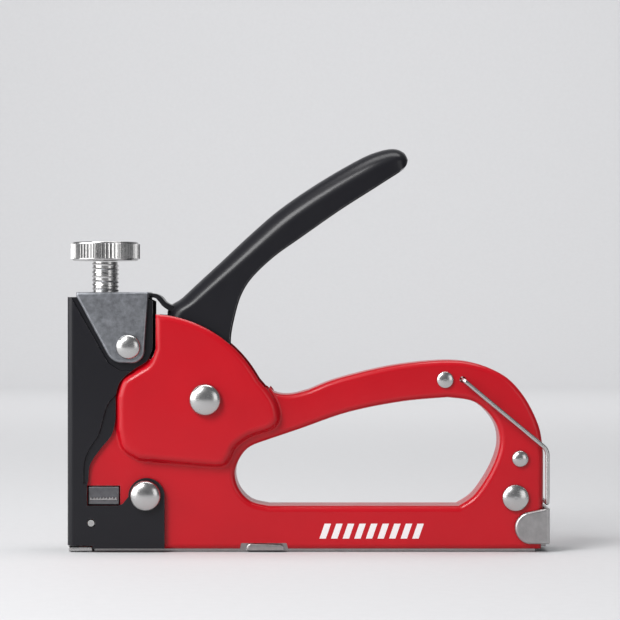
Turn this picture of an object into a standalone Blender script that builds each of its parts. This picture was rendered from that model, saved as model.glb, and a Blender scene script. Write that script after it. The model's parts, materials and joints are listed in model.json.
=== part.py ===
"""Compact hand staple gun, modelled as its separate pieces.

Frame: +X runs from the nose to the rear, +Z is up, and the two body shells meet on the plane Y = 0.
The magazine stands on Z = 0. Sizes are in millimetres and are turned into metres when a mesh is made.
"""

import math

import bmesh
import bpy

MM = 0.001
GAP = 0.3
SEAM = 0.15
OPEN_PAST = 3.0

# Half widths, measured from the middle plane outwards.
SHELL_IN = 6.9
SHELL_OUT = 8.0
PLATEAU_IN = 9.9
PLATEAU_OUT = 11.0
COVER_IN = 8.3
COVER_LOW = 9.0
COVER_OUT = 9.5
BRACKET_IN = 9.3
BRACKET_OUT = 10.5
HANDLE_HALF = 8.0
HANDLE_SHEET = 1.2
LEVER_HALF = 5.8
LATCH_IN = 8.4
LATCH_OUT = 9.6
BAIL_HALF = 10.2

# The outside length, and the heights of the main levels.
FRONT = -72.75
REAR = 72.75
SHELL_BOTTOM = 0.6
BRACKET_TOP = 78.3
SHEET = 1.1

# Joint axes and other centres, as (x, z) in the side view.
PIVOT = (-31.05, 45.9)
BRACKET_RIVET = (-54.2, 61.8)
NOSE_RIVET = (-49.1, 16.95)
UPPER_RIVET = (41.25, 51.8)
REAR_RIVET = (63.9, 28.0)
LATCH_RIVET = (62.5, 16.2)
BAIL_PIVOT = (46.6, 51.9)
NOSE_PIN = (-65.5, 8.7)
SCREW_X = -61.95
ROD_Z = 5.4

RIVET_SHAFT = 2.0
PIVOT_SHAFT = 2.4
BRACKET_SHAFT = 1.6
WIRE_RADIUS = 0.65
PIN = 1.0
COIL_SIDES = 9
END_CLOSENESS = 0.175

COLOURS = {
    "red_paint": ((0.56, 0.011, 0.02), 0.35, 0.1),
    "black_paint": ((0.02, 0.019, 0.026), 0.4, 0.2),
    "zinc_plate": ((0.32, 0.34, 0.37), 0.45, 1.0),
    "nickel": ((0.62, 0.62, 0.62), 0.2, 1.0),
    "satin_steel": ((0.36, 0.355, 0.36), 0.4, 1.0),
    "hard_steel": ((0.2, 0.2, 0.21), 0.45, 1.0),
    "bumper_rubber": ((0.03, 0.03, 0.03), 0.8, 0.0),
}


# ---------------------------------------------------------------- outlines

def arc(centre, radius, start, end, steps):
    """Points on a circle, from the start angle to the end angle in degrees."""
    span = math.radians(end - start) / steps
    first = math.radians(start)
    return [
        (centre[0] + radius * math.cos(first + span * i), centre[1] + radius * math.sin(first + span * i))
        for i in range(steps + 1)
    ]


def smooth(points, per_span):
    """A Catmull-Rom curve through the points, with the same number of steps in each span."""
    size = len(points[0])
    held = [points[0]] + list(points) + [points[-1]]
    out = []
    for i in range(1, len(held) - 2):
        for k in range(per_span):
            t = k / per_span
            out.append(tuple(
                0.5 * (2 * held[i][d] + (held[i + 1][d] - held[i - 1][d]) * t
                       + (2 * held[i - 1][d] - 5 * held[i][d] + 4 * held[i + 1][d] - held[i + 2][d]) * t * t
                       + (3 * held[i][d] - held[i - 1][d] - 3 * held[i + 1][d] + held[i + 2][d]) * t ** 3)
                for d in range(size)
            ))
    out.append(tuple(points[-1]))
    return out


def area(loop):
    """The signed area of a closed loop, positive if it runs counterclockwise."""
    return 0.5 * sum(a[0] * b[1] - b[0] * a[1] for a, b in zip(loop, loop[1:] + loop[:1]))


def counterclockwise(loop):
    """The loop, reversed if it runs clockwise."""
    return loop if area(loop) > 0 else loop[::-1]


def offset(loop, distance):
    """The closed loop moved outwards. The distance is one number, or a function of a point on the loop."""
    out = []
    for before, here, after in zip(loop[-1:] + loop[:-1], loop, loop[1:] + loop[:1]):
        ax, az = here[0] - before[0], here[1] - before[1]
        bx, bz = after[0] - here[0], after[1] - here[1]
        la, lb = math.hypot(ax, az), math.hypot(bx, bz)
        nx, nz = az / la + bz / lb, -ax / la - bx / lb
        length = math.hypot(nx, nz)
        far = distance(here) if callable(distance) else distance
        miter = far / max(length * length / 2, 0.5) if length else 0
        out.append((here[0] + nx * miter, here[1] + nz * miter))
    return out


def bar_top():
    """The upper edge from the rear corner, over the bar, to the foot of the body's round top."""
    rear_bow = smooth([(71.0, 29.5), (69.6, 38.0), (64.6, 47.6), (57.4, 54.1), (45.4, 57.6),
                       (27.4, 56.4), (9.4, 52.3), (0.0, 48.7)], 2)
    fillet = smooth([(0.0, 48.7), (-5.6, 47.4), (-10.6, 48.1), (-14.7, 51.9)], 2)
    return rear_bow[:-1] + fillet


def body_arc():
    return arc((-48.45, 33.9), 38.2, 28.1, 81.9, 8)


def shell_outline():
    """The lower level of a shell, with the stretch that the front cover hides."""
    start = [(-69.6, 2.0), (-64.9, 2.0), (-64.6, SHELL_BOTTOM), (70.4, SHELL_BOTTOM), (70.9, 13.6), (71.0, 21.0)]
    inner = [(x - 0.35, z - 0.35) for x, z in body_arc()[1:]]
    return start + bar_top() + inner + [(-69.6, 71.6)]


def finger_opening():
    """The hole for the fingers, between the bar and the magazine."""
    front = smooth([(-12.0, 13.7), (-17.6, 15.2), (-21.4, 19.6), (-22.0, 25.2), (-18.5, 31.0), (-12.0, 33.8)], 2)
    roof = smooth([(-12.0, 33.8), (-2.5, 37.0), (12.0, 42.0), (28.0, 45.2), (42.0, 46.5)], 2)
    rear = smooth([(42.0, 46.5), (50.2, 45.1), (56.0, 39.7), (57.8, 33.0), (55.6, 25.4), (50.4, 17.3),
                   (45.4, 13.7)], 2)
    return counterclockwise(front[:-1] + roof[:-1] + rear)


def plateau_outline():
    """The raised middle of a shell, which clears the lever and the handle's ears."""
    foot = smooth([(-46.4, 61.3), (-48.2, 57.0), (-52.2, 54.3), (-55.9, 51.7), (-57.6, 46.8)], 2)
    corner = smooth([(-57.6, 37.0), (-56.0, 31.0), (-51.0, 27.7)], 2)
    rim = smooth([(-24.6, 25.4), (-22.6, 30.6), (-17.5, 34.9), (-10.0, 37.3)], 2)
    right = [(-8.6, 39.5), (-10.7, 47.2), (-12.2, 48.9)]
    return [(-46.4, 72.0)] + foot + corner + rim + right + body_arc()


def cover_edge():
    """The front cover's rear edge, from its lower rear corner to its top."""
    lobe = arc((-48.85, 16.8), 5.45, 0, 182, 10)
    window = [(-55.9, 14.6), (-57.2, 13.9), (-66.8, 13.9), (-66.8, 19.9)]
    rise = smooth([(-66.4, 21.5), (-65.8, 26.4), (-62.6, 31.2), (-59.4, 35.2), (-58.2, 40.0)], 2)
    shoulder = smooth([(-58.2, 46.8), (-56.7, 51.4), (-52.6, 55.0), (-48.7, 57.6), (-47.0, 61.5)], 2)
    return [(-43.4, 1.0)] + lobe + window + rise + shoulder + [(-47.0, 75.6)]


def cover_outline():
    """The whole front cover in the side view."""
    return [(FRONT, 1.9), (-65.0, 1.9), (-65.0, 1.0)] + cover_edge() + [(-49.5, 76.8), (FRONT, 76.8)]


def cover_margin():
    """The lowered band along the cover's rear edge."""
    line = smooth([(-57.9, 47.6), (-60.8, 44.0), (-63.2, 35.7), (-65.9, 31.4), (-67.6, 27.0), (-67.8, 20.4)], 2)
    return counterclockwise(line + [(-60.0, 20.4), (-55.0, 40.0)])


def bracket_seat():
    """The lowered field of the cover under the bracket, a little wider than the bracket."""
    return counterclockwise([(-72.3, 78.0), (-60.4, 56.9), (-57.0, 54.6), (-44.0, 54.6), (-44.0, 78.0)])


def bracket_outline():
    """The top bracket's side: a slanted front edge and a round lower end about its rivet."""
    lower_rear = arc((-53.3, 60.8), 4.0, 0, -95, 6)
    lower_front = arc((-56.2, 61.9), 5.0, -98, -152, 4)
    return counterclockwise([(-48.2, BRACKET_TOP)] + lower_rear + lower_front + [(-69.9, 76.9), (-69.9, BRACKET_TOP)])


def latch_outline():
    """The rear latch's side, with the round front end that a finger pulls on."""
    bow = arc((67.1, 7.2), 4.9, 106, 262, 10)
    return counterclockwise([(REAR, 2.3), (REAR, 13.0), (71.0, 13.0)] + bow)


# ---------------------------------------------------------------- meshes

def new_object(name, mesh_maker, colour):
    """An object whose mesh a function fills. One with no colour is a helper."""
    mesh = bpy.data.meshes.new(name)
    bm = bmesh.new()
    mesh_maker(bm)
    bmesh.ops.remove_doubles(bm, verts=bm.verts, dist=1e-7)
    bmesh.ops.recalc_face_normals(bm, faces=bm.faces)
    bm.to_mesh(mesh)
    bm.free()
    mesh.shade_smooth()
    mesh.set_sharp_from_angle(angle=math.radians(35))
    obj = bpy.data.objects.new(name, mesh)
    bpy.context.scene.collection.objects.link(obj)
    if colour:
        mesh.materials.append(bpy.data.materials[colour])
    return obj


def slab(name, loops, levels, colour=None):
    """A plate in the side view. Each level is (y, inset); the first loop is the outside, the rest are holes."""
    def build(bm):
        rings = []
        for y, inset in levels:
            ring = []
            for k, loop in enumerate(loops):
                moved = offset(loop, inset if k else -inset)
                ring.append([bm.verts.new((x * MM, y * MM, z * MM)) for x, z in moved])
            rings.append(ring)
        for low, high in zip(rings, rings[1:]):
            for a, b in zip(low, high):
                for i in range(len(a)):
                    j = (i + 1) % len(a)
                    bm.faces.new((a[i], a[j], b[j], b[i]))
        for ring in (rings[0], rings[-1]):
            edges = []
            for loop in ring:
                for i in range(len(loop)):
                    pair = (loop[i], loop[(i + 1) % len(loop)])
                    edges.append(bm.edges.get(pair) or bm.edges.new(pair))
            bmesh.ops.triangle_fill(bm, edges=edges, use_beauty=True)
    return new_object(name, build, colour)


def mirrored_slab(name, loops, levels, colour=None):
    """A plate that is the same on both sides of the middle plane. Levels run from the middle outwards."""
    both = [(-y, inset) for y, inset in reversed(levels)] + list(levels)
    return slab(name, loops, both, colour)


def rounded(y, edge, depth=None, steps=3):
    """Levels for an outer face at y with a rounded edge."""
    deep = depth or edge
    quarter = math.pi / 2 / steps
    return [(y - deep * (1 - math.sin(quarter * i)), edge * (1 - math.cos(quarter * i))) for i in range(steps + 1)]


def box_loop(x0, z0, x1, z1):
    """A rectangle in the side view."""
    return [(x0, z0), (x1, z0), (x1, z1), (x0, z1)]


def box(name, x, y, z, colour=None):
    """A plain block between two values on each axis."""
    return slab(name, [box_loop(x[0], z[0], x[1], z[1])], [(y[0], 0), (y[1], 0)], colour)


def turned(name, profile, centre, axis, colour=None, segments=24):
    """A turned piece. The profile is (radius, place along the axis); it closes on itself if it ends off the axis."""
    def place(radius, along, angle):
        u, v = radius * math.cos(angle), radius * math.sin(angle)
        if axis == "Y":
            return ((centre[0] + u) * MM, along * MM, (centre[1] + v) * MM)
        if axis == "Z":
            return ((centre[0] + u) * MM, (centre[1] + v) * MM, along * MM)
        return (along * MM, (centre[0] + u) * MM, (centre[1] + v) * MM)

    def build(bm):
        rings = []
        for radius, along in profile:
            if radius == 0:
                rings.append([bm.verts.new(place(0, along, 0))] * segments)
            else:
                rings.append([bm.verts.new(place(radius, along, 2 * math.pi * i / segments))
                              for i in range(segments)])
        open_ended = profile[0][0] == 0
        pairs = list(zip(rings, rings[1:])) if open_ended else list(zip(rings, rings[1:] + rings[:1]))
        for a, b in pairs:
            for i in range(segments):
                j = (i + 1) % segments
                corners = []
                for corner in (a[i], a[j], b[j], b[i]):
                    if corner not in corners:
                        corners.append(corner)
                bm.faces.new(corners)
    return new_object(name, build, colour)


def tube(name, path, radius, sides, colour=None):
    """A round wire along a path of (x, y, z) points, with flat ends."""
    def build(bm):
        rings = []
        normal = None
        for i, here in enumerate(path):
            before, after = path[max(i - 1, 0)], path[min(i + 1, len(path) - 1)]
            along = [b - a for a, b in zip(before, after)]
            size = math.sqrt(sum(c * c for c in along))
            along = [c / size for c in along]
            if normal is None:
                normal = (0.0, 0.0, 1.0) if abs(along[2]) < 0.8 else (1.0, 0.0, 0.0)
            dot = sum(a * b for a, b in zip(normal, along))
            normal = [a - dot * b for a, b in zip(normal, along)]
            size = math.sqrt(sum(c * c for c in normal))
            normal = [c / size for c in normal]
            side = [along[1] * normal[2] - along[2] * normal[1], along[2] * normal[0] - along[0] * normal[2],
                    along[0] * normal[1] - along[1] * normal[0]]
            ring = []
            for k in range(sides):
                c = radius * math.cos(2 * math.pi * k / sides)
                s = radius * math.sin(2 * math.pi * k / sides)
                ring.append(bm.verts.new([(h + c * n + s * w) * MM for h, n, w in zip(here, normal, side)]))
            rings.append(ring)
        for a, b in zip(rings, rings[1:]):
            for k in range(sides):
                m = (k + 1) % sides
                bm.faces.new((a[k], a[m], b[m], b[k]))
        bm.faces.new(rings[0])
        bm.faces.new(rings[-1])
    return new_object(name, build, colour)


def loft(name, sections, colour=None):
    """A solid through closed sections that all have the same number of (x, y, z) points."""
    def build(bm):
        rings = [[bm.verts.new([c * MM for c in point]) for point in section] for section in sections]
        for a, b in zip(rings, rings[1:]):
            for k in range(len(a)):
                m = (k + 1) % len(a)
                bm.faces.new((a[k], a[m], b[m], b[k]))
        bm.faces.new(rings[0])
        bm.faces.new(rings[-1])
    return new_object(name, build, colour)


def combine(obj, other, operation):
    """Joins another solid to this one, or cuts it away, and hides it as a helper."""
    modifier = obj.modifiers.new(operation.title(), "BOOLEAN")
    modifier.operation = operation
    modifier.object = other
    other.hide_render = True
    other.display_type = "WIRE"


def cut(obj, *cutters):
    """Cuts solids away from this one."""
    for cutter in cutters:
        combine(obj, cutter, "DIFFERENCE")


def join(obj, *others):
    """Joins solids to this one."""
    for other in others:
        combine(obj, other, "UNION")


def drill(obj, *holes):
    """Round holes along Y through the whole width, each given as (centre, radius)."""
    for i, (centre, radius) in enumerate(holes):
        hole = turned(f"{obj.name}_hole_{i}", [(0, -20), (radius, -20), (radius, 20), (0, 20)], centre, "Y",
                      segments=12)
        cut(obj, hole)


def mirror_copy(name, source, colour):
    """The same piece on the other side of the middle plane."""
    bpy.context.view_layer.update()
    finished = source.evaluated_get(bpy.context.evaluated_depsgraph_get())

    def build(bm):
        bm.from_mesh(finished.data)
        for vert in bm.verts:
            vert.co.y = -vert.co.y
    return new_object(name, build, colour)


# ---------------------------------------------------------------- housing

def left_shell():
    """One pressed half of the body: a dished plate with a turned-in wall, open below, in front and on top."""
    outline, opening, plateau = shell_outline(), finger_opening(), plateau_outline()

    def wall(point):
        """Past the outline where the shell is open, and a sheet's thickness inside it elsewhere."""
        x, z = point
        opened = z < 13.0 or x < -60 or (z > 50.0 and x < -11.5)
        return OPEN_PAST if opened else -SHEET

    def plateau_wall(point):
        """The same for the raised middle, which is open on top for the handle."""
        x, z = point
        return OPEN_PAST if (z > 49.5 and x > -47.5) else -SHEET - 0.3

    def side_slab(label, loops, levels, colour=None):
        """A slab on the tool's left side, with its levels counted outwards from the middle."""
        return slab(f"left_body_{label}", loops, [(-y, inset) for y, inset in levels], colour)

    body = side_slab("shell", [outline, opening], [(SEAM, 0)] + rounded(SHELL_OUT, 1.8, 1.8, 2), "red_paint")
    join(body, side_slab("raised", [plateau], [(6.0, 0)] + rounded(PLATEAU_OUT, 2.2, 2.4, 3)))
    cut(body, side_slab("pocket", [offset(outline, wall), offset(opening, SHEET)], [(-1.0, 0), (SHELL_IN, 0)]))
    cut(body, side_slab("hollow", [offset(plateau, plateau_wall)], [(-1.0, 0), (8.6, 0), (PLATEAU_IN, 1.2)]))
    notch = [(-21.0, -1.0), (-5.8, -1.0), (-6.6, 2.5), (-20.4, 2.5)]
    for label, loop in (("window", box_loop(-66.7, 13.9, -56.9, 19.9)), ("notch", notch)):
        cut(body, side_slab(label, [loop], [(5.0, 0), (12.0, 0)]))
    drill(body, (PIVOT, PIVOT_SHAFT + GAP), (BRACKET_RIVET, BRACKET_SHAFT + GAP),
          (NOSE_RIVET, RIVET_SHAFT + GAP), (UPPER_RIVET, RIVET_SHAFT + GAP), (REAR_RIVET, RIVET_SHAFT + GAP),
          (LATCH_RIVET, RIVET_SHAFT + GAP), (BAIL_PIVOT, WIRE_RADIUS + GAP), (NOSE_PIN, PIN + GAP))
    return body


def front_cover():
    """The black cap round the body's front, with a lowered margin and a lowered seat for the bracket."""
    cover = mirrored_slab("front_cover", [cover_outline()], rounded(COVER_OUT, 0.4, 0.4, 1), "black_paint")
    inside = [(FRONT + 1.2, -2.0), (-38.0, -2.0), (-38.0, 80.0), (FRONT + 1.2, 80.0)]
    cut(cover, mirrored_slab("cover_inside", [inside], [(COVER_IN, 0)]))
    for side in (-1, 1):
        for label, loop in (("margin", cover_margin()), ("seat", bracket_seat())):
            cut(cover, slab(f"cover_{label}_{side + 1}", [loop], [(side * COVER_LOW, 0), (side * 12.0, 0)]))
        corner = [(FRONT - 1, side * 11.0), (FRONT - 1, side * (COVER_OUT - 2.0)),
                  (FRONT, side * (COVER_OUT - 2.0))]
        bend = [(x, side * y) for x, y in arc((FRONT + 2.0, COVER_OUT - 2.0), 2.0, 180, 90, 5)]
        ring = [corner[0], corner[1]] + bend + [(FRONT + 2.0, side * 11.0)]
        sections = [[(x, y, z) for x, y in ring] for z in (-3.0, 81.0)]
        cut(cover, loft(f"cover_corner_{side + 1}", sections))
    drill(cover, (BRACKET_RIVET, BRACKET_SHAFT + GAP), (NOSE_RIVET, RIVET_SHAFT + GAP), (NOSE_PIN, PIN + GAP))


def top_bracket():
    """The plated strap that carries the adjusting screw."""
    bracket = mirrored_slab("top_bracket", [bracket_outline()], rounded(BRACKET_OUT, 0.4, 0.4, 1), "zinc_plate")
    inside = box_loop(-75.0, 50.0, -40.0, BRACKET_TOP - 1.2)
    cut(bracket, mirrored_slab("bracket_inside", [inside], [(BRACKET_IN, 0)]))
    cut(bracket, turned("bracket_bore", [(0, 70), (4.4, 70), (4.4, 85), (0, 85)], (SCREW_X, 0), "Z"))
    drill(bracket, (BRACKET_RIVET, BRACKET_SHAFT + GAP))


def adjuster_nut():
    """The nut under the bracket that the adjusting screw runs in."""
    top, bottom = BRACKET_TOP - 1.2 - GAP, 72.2
    turned("adjuster_nut", [(4.4, top), (6.2, top), (6.2, bottom), (4.4, bottom)], (SCREW_X, 0), "Z", "hard_steel", 16)


def striker_stop():
    """The hard cross block that ends the blow. Its lugs stand out through windows in the shells."""
    box("striker_stop", (-66.4, -57.2), (-COVER_LOW, COVER_LOW), (14.2, 19.6), "hard_steel")


def striker_buffer():
    """The rubber block on top of the stop."""
    loop = box_loop(-66.0, 19.9, -57.4, 24.4)
    mirrored_slab("striker_buffer", [loop], rounded(5.8, 0.8, 0.8, 2), "bumper_rubber")


def nose_foot():
    """The hard plate under the nose, with the slot that the staple leaves by."""
    foot = box("nose_foot", (-72.4, -65.3), (-8.0, 8.0), (0.0, 1.6), "nickel")
    cut(foot, box("nose_slot", (-71.5, -70.1), (-6.2, 6.2), (-1.0, 3.0)))


def headed_rivet(name, centre, shaft, head, height, face, blunt=False):
    """A through rivet with a formed head on each side. A blunt head is a cone with a marked centre."""
    under = face + GAP
    dome = [(head, under), (head, under + 0.25 * height)]
    if blunt:
        dome += [(0.72 * head, under + 0.72 * height), (0.3 * head, under + 0.96 * height)]
    else:
        dome += [(head * math.cos(a), under + height * (0.25 + 0.75 * math.sin(a)))
                 for a in (math.radians(d) for d in (28, 56))]
    half = [(shaft, under)] + dome
    profile = [(0, -under - height)] + [(r, -y) for r, y in reversed(half)] + half + [(0, under + height)]
    return turned(name, profile, centre, "Y", "nickel", 18)


def bush(name, centre, bore, outer, start, end):
    """A plain ring across the tool, between two values of Y."""
    turned(name, [(bore, end), (outer, end), (outer, start), (bore, start)], centre, "Y", "hard_steel", 12)


def rivets_and_spacers():
    """Everything that holds the two shells together and apart."""
    headed_rivet("handle_pivot_rivet", PIVOT, PIVOT_SHAFT, 4.8, 2.7, PLATEAU_OUT)
    headed_rivet("bracket_rivet", BRACKET_RIVET, BRACKET_SHAFT, 3.75, 2.3, BRACKET_OUT)
    headed_rivet("nose_rivet", NOSE_RIVET, RIVET_SHAFT, 4.65, 2.7, COVER_OUT)
    headed_rivet("upper_rivet", UPPER_RIVET, RIVET_SHAFT, 2.5, 0.9, SHELL_OUT, True)
    headed_rivet("rear_rivet", REAR_RIVET, RIVET_SHAFT, 2.5, 1.3, SHELL_OUT, True)
    headed_rivet("latch_rivet", LATCH_RIVET, RIVET_SHAFT, 4.05, 1.7, SHELL_OUT, True)
    for name, centre in (("nose_spacer", NOSE_RIVET), ("upper_spacer", UPPER_RIVET), ("rear_spacer", REAR_RIVET),
                         ("latch_spacer", LATCH_RIVET)):
        bush(name, centre, RIVET_SHAFT + GAP, 3.2, -SHELL_IN + GAP, SHELL_IN - GAP)
    for name, side in (("left_pivot_washer", -1), ("right_pivot_washer", 1)):
        ends = sorted((side * (HANDLE_HALF + GAP), side * (PLATEAU_IN - GAP)))
        bush(name, PIVOT, PIVOT_SHAFT + GAP, 5.2, ends[0], ends[1])
    for name, side in (("left_nose_pin", -1), ("right_nose_pin", 1)):
        ends = sorted((side * 7.0, side * (COVER_OUT + 0.3)))
        turned(name, [(0, ends[0]), (PIN, ends[0]), (PIN, ends[1]), (0, ends[1])], NOSE_PIN, "Y", "nickel", 12)


def magazine_channel():
    """The open-topped trough that holds the staples, with a round-cornered finger tab on each side."""
    trough = box("magazine_channel", (-64.8, 68.5), (-6.6, 6.6), (0.0, 12.0), "satin_steel")
    cut(trough, box("trough_inside", (-80.0, 80.0), (-5.8, 5.8), (0.9, 20.0)))
    tab = [(-18.8, 0.3), (-7.5, 0.3)] + arc((-8.7, 0.9), 1.2, 0, 85, 3) + arc((-17.4, 1.1), 1.3, 90, 180, 3)
    for side in (-1, 1):
        ends = sorted((side * 6.2, side * 8.6))
        join(trough, slab(f"trough_tab_{side + 1}", [tab], [(ends[0], 0), (ends[1], 0)]))


def staple_rail():
    """The inner rail that the staples straddle, with a slot along its top for the pusher."""
    rail = box("staple_rail", (-69.8, 66.0), (-4.6, 4.6), (1.9, 9.8), "hard_steel")
    cut(rail, box("rail_inside", (-68.8, 80.0), (-3.7, 3.7), (-2.0, 8.8)))
    cut(rail, box("rail_slot", (-67.6, 80.0), (-1.6, 1.6), (7.0, 12.0)))


# ---------------------------------------------------------------- striker and adjuster

def striker():
    """The block that the spring drives down, and the thin blade that it carries."""
    body = [(-70.1, 24.8), (-55.3, 24.8), (-55.3, 40.7), (-49.8, 40.7), (-49.8, 44.0), (-70.1, 44.0)]
    block = mirrored_slab("striker_block", [body], rounded(6.3, 0.4, 0.4, 1), "hard_steel")
    cut(block, turned("spring_seat", [(0, 38.0), (5.6, 38.0), (5.6, 50.0), (0, 50.0)], (SCREW_X, 0), "Z"))
    blade = box("driver_blade", (-71.2, -70.4), (-5.6, 5.6), (1.0, 43.0), "nickel")
    return [block, blade]


def coil_path(centre, radius, start, end, turns, axis):
    """Points along a round coil whose axis is parallel to X or Z, with its end turns closer together."""
    steps = int(turns * COIL_SIDES)
    path = []
    for i in range(steps + 1):
        t = i / steps
        angle = 2 * math.pi * turns * t
        ease = t - END_CLOSENESS / turns * math.sin(2 * math.pi * t)
        along = start + (end - start) * ease
        u, v = radius * math.cos(angle), radius * math.sin(angle)
        if axis == "Z":
            path.append((centre[0] + u, centre[1] + v, along))
        else:
            path.append((along, centre[0] + u, centre[1] + v))
    return path


def power_spring():
    """The coil between the striker and the spring cap."""
    tube("power_spring", coil_path((SCREW_X, 0.0), 4.3, 39.1, 64.8, 6.5, "Z"), 0.8, 5, "satin_steel")


def adjuster():
    """The spring cap, and the screw and knob that turn as one."""
    cap = turned("spring_cap", [(0, 68.7), (5.0, 68.7), (5.0, 66.0), (3.2, 66.0), (2.9, 63.5), (0, 63.5)],
                 (SCREW_X, 0), "Z", "hard_steel", 16)
    screw = turned("adjuster_screw", [(0, 87.6), (4.1, 87.6), (4.1, 69.8), (3.4, 69.0), (0, 69.0)],
                   (SCREW_X, 0), "Z", "nickel", 20)
    knob = turned("adjuster_knob", [(0, 93.2), (8.6, 93.2), (9.2, 93.6), (10.1, 93.6), (10.5, 93.1),
                                    (10.5, 88.4), (10.1, 87.9), (0, 87.9)],
                  (SCREW_X, 0), "Z", "nickel", 24)
    return [cap], [screw, knob]


# ---------------------------------------------------------------- handle

def handle_section(top, foot, half, crown, lift, drop):
    """A section of the handle between a point on its top edge and one on its lower edge."""
    height = math.dist(top, foot)
    ux, uz = (top[0] - foot[0]) / height, (top[1] - foot[1]) / height
    shoulder = height + lift - crown
    profile = [(half, -drop)]
    for i in range(6):
        angle = math.pi / 2 * i / 5
        profile.append((half * math.cos(angle) if i < 5 else 0.0, shoulder + crown * math.sin(angle)))
    profile += [(-y, v) for y, v in reversed(profile[:-1])]
    return [(foot[0] + ux * v, y, foot[1] + uz * v) for y, v in profile]


def handle():
    """The lever that the hand squeezes: a pressed channel with a round crown and two pivot ears."""
    # Each station is (top x, top z, foot x, foot z, half width, crown height).
    ears = [(-36.2, 38.9, -26.6, 38.9, HANDLE_HALF, 0.1), (-38.6, 42.4, -23.6, 42.4, HANDLE_HALF, 0.1),
            (-40.2, 51.0, -23.2, 49.0, HANDLE_HALF, 0.3), (-41.9, 62.0, -23.5, 57.5, HANDLE_HALF, 1.5)]
    grip = [(-43.0, 72.6, -23.9, 64.3, HANDLE_HALF, 5.0), (-38.5, 76.6, -22.5, 71.8, HANDLE_HALF, 5.6),
            (-32.5, 82.2, -20.5, 78.0, HANDLE_HALF, 5.8), (-26.5, 87.7, -17.0, 83.3, HANDLE_HALF, 5.8),
            (-17.5, 96.1, -10.5, 89.4, HANDLE_HALF, 5.8), (-8.5, 103.8, -2.5, 95.1, HANDLE_HALF, 5.8),
            (3.4, 111.9, 9.5, 103.5, HANDLE_HALF, 5.8), (15.4, 118.8, 20.0, 110.2, 7.9, 5.6),
            (21.5, 121.3, 24.7, 113.2, 7.6, 5.2), (26.0, 122.1, 28.0, 115.3, 7.0, 4.4),
            (29.0, 120.9, 29.4, 116.4, 5.8, 3.0), (30.3, 118.9, 30.1, 117.5, 4.0, 0.9)]
    stations = ears[:-1] + smooth([ears[-1]] + grip, 2)
    outer = [handle_section(s[:2], s[2:4], s[4], s[5], 0, 0) for s in stations]
    grip_lever = loft("handle", outer, "black_paint")
    inner = []
    for s in stations[:-5]:
        ear = s[3] < 60.0
        inner.append(handle_section(s[:2], s[2:4], s[4] - HANDLE_SHEET, 0.3 if ear else s[5] - 1.0,
                                    4.0 if ear else -HANDLE_SHEET, 4.0))
    first = [(x, y, z - 3.0) for x, y, z in inner[0]]
    last = [(x + 0.7, y, z + 0.3) for x, y, z in inner[-1]]
    cut(grip_lever, loft("handle_inside", [first] + inner + [last]))
    crest = smooth([(-41.0, 74.2), (-43.2, 75.3), (-44.6, 76.9), (-46.2, 77.8), (-47.9, 78.0)], 2)
    under = smooth([(-47.9, 76.7), (-46.4, 76.5), (-45.3, 75.4), (-43.9, 73.8), (-40.4, 71.6)], 2)
    join(grip_lever, mirrored_slab("handle_tongue", [counterclockwise(crest + under)], [(5.6, 0)]))
    drill(grip_lever, (PIVOT, PIVOT_SHAFT + GAP))
    return grip_lever


def lever_arm():
    """The inner lever, riveted to the pivot with the handle. Its two tips lift the striker."""
    tip = arc((-51.72, 38.38), 1.8, 105, 290, 8)
    lobe = arc(PIVOT, 6.6, 250, 350, 6)
    back = [(-24.6, 54.0), (-25.4, 64.0), (-23.4, 73.0), (-20.8, 79.4), (-23.6, 81.8)]
    crest = [(-29.4, 76.6), (-35.2, 71.1), (-38.6, 67.6)]
    front = [(-39.0, 60.0), (-39.0, 51.0), (-42.6, 44.6), (-47.4, 40.2)]
    outline = counterclockwise(tip + [(-46.0, 36.9), (-38.0, 38.9)] + lobe + back + crest + front)
    lever = mirrored_slab("lever_arm", [outline], [(LEVER_HALF, 0)], "hard_steel")
    inside = counterclockwise([(-60.0, 30.0), (-10.0, 30.0), (-10.0, 75.0), (-20.0, 83.0), (-23.0, 80.2),
                               (-28.6, 75.0), (-34.4, 69.6), (-40.0, 64.0), (-60.0, 60.0)])
    cut(lever, mirrored_slab("lever_inside", [inside], [(LEVER_HALF - 1.4, 0)]))
    drill(lever, (PIVOT, PIVOT_SHAFT + GAP))
    return lever


def handle_lock():
    """The wire loop that holds the handle down. It is bent to follow the body's rear while it is stowed."""
    corner, low = (71.95, 30.8), 14.7
    lead = 1.6
    dx, dz = corner[0] - BAIL_PIVOT[0], corner[1] - BAIL_PIVOT[1]
    length = math.hypot(dx, dz)
    ux, uz = dx / length, dz / length
    start = (BAIL_PIVOT[0] + lead * ux, BAIL_PIVOT[1] + lead * uz)
    before = (corner[0] - lead * ux, corner[1] - lead * uz)
    side = [(BAIL_PIVOT[0], 7.1, BAIL_PIVOT[1]), (BAIL_PIVOT[0], BAIL_HALF - lead, BAIL_PIVOT[1]),
            (BAIL_PIVOT[0] + 0.3 * lead * ux, BAIL_HALF - 0.3 * lead, BAIL_PIVOT[1] + 0.3 * lead * uz),
            (start[0], BAIL_HALF, start[1]), (before[0], BAIL_HALF, before[1]),
            (corner[0] - 0.25 * ux, BAIL_HALF, corner[1] - 0.7),
            (corner[0], BAIL_HALF, corner[1] - 1.0 - lead), (corner[0], BAIL_HALF, low + 2.4),
            (corner[0], BAIL_HALF - 0.7, low + 0.7), (corner[0], BAIL_HALF - 2.4, low)]
    path = side + [(x, -y, z) for x, y, z in reversed(side)]
    return tube("handle_lock", path, WIRE_RADIUS, 8, "nickel")


# ---------------------------------------------------------------- magazine pusher

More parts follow.
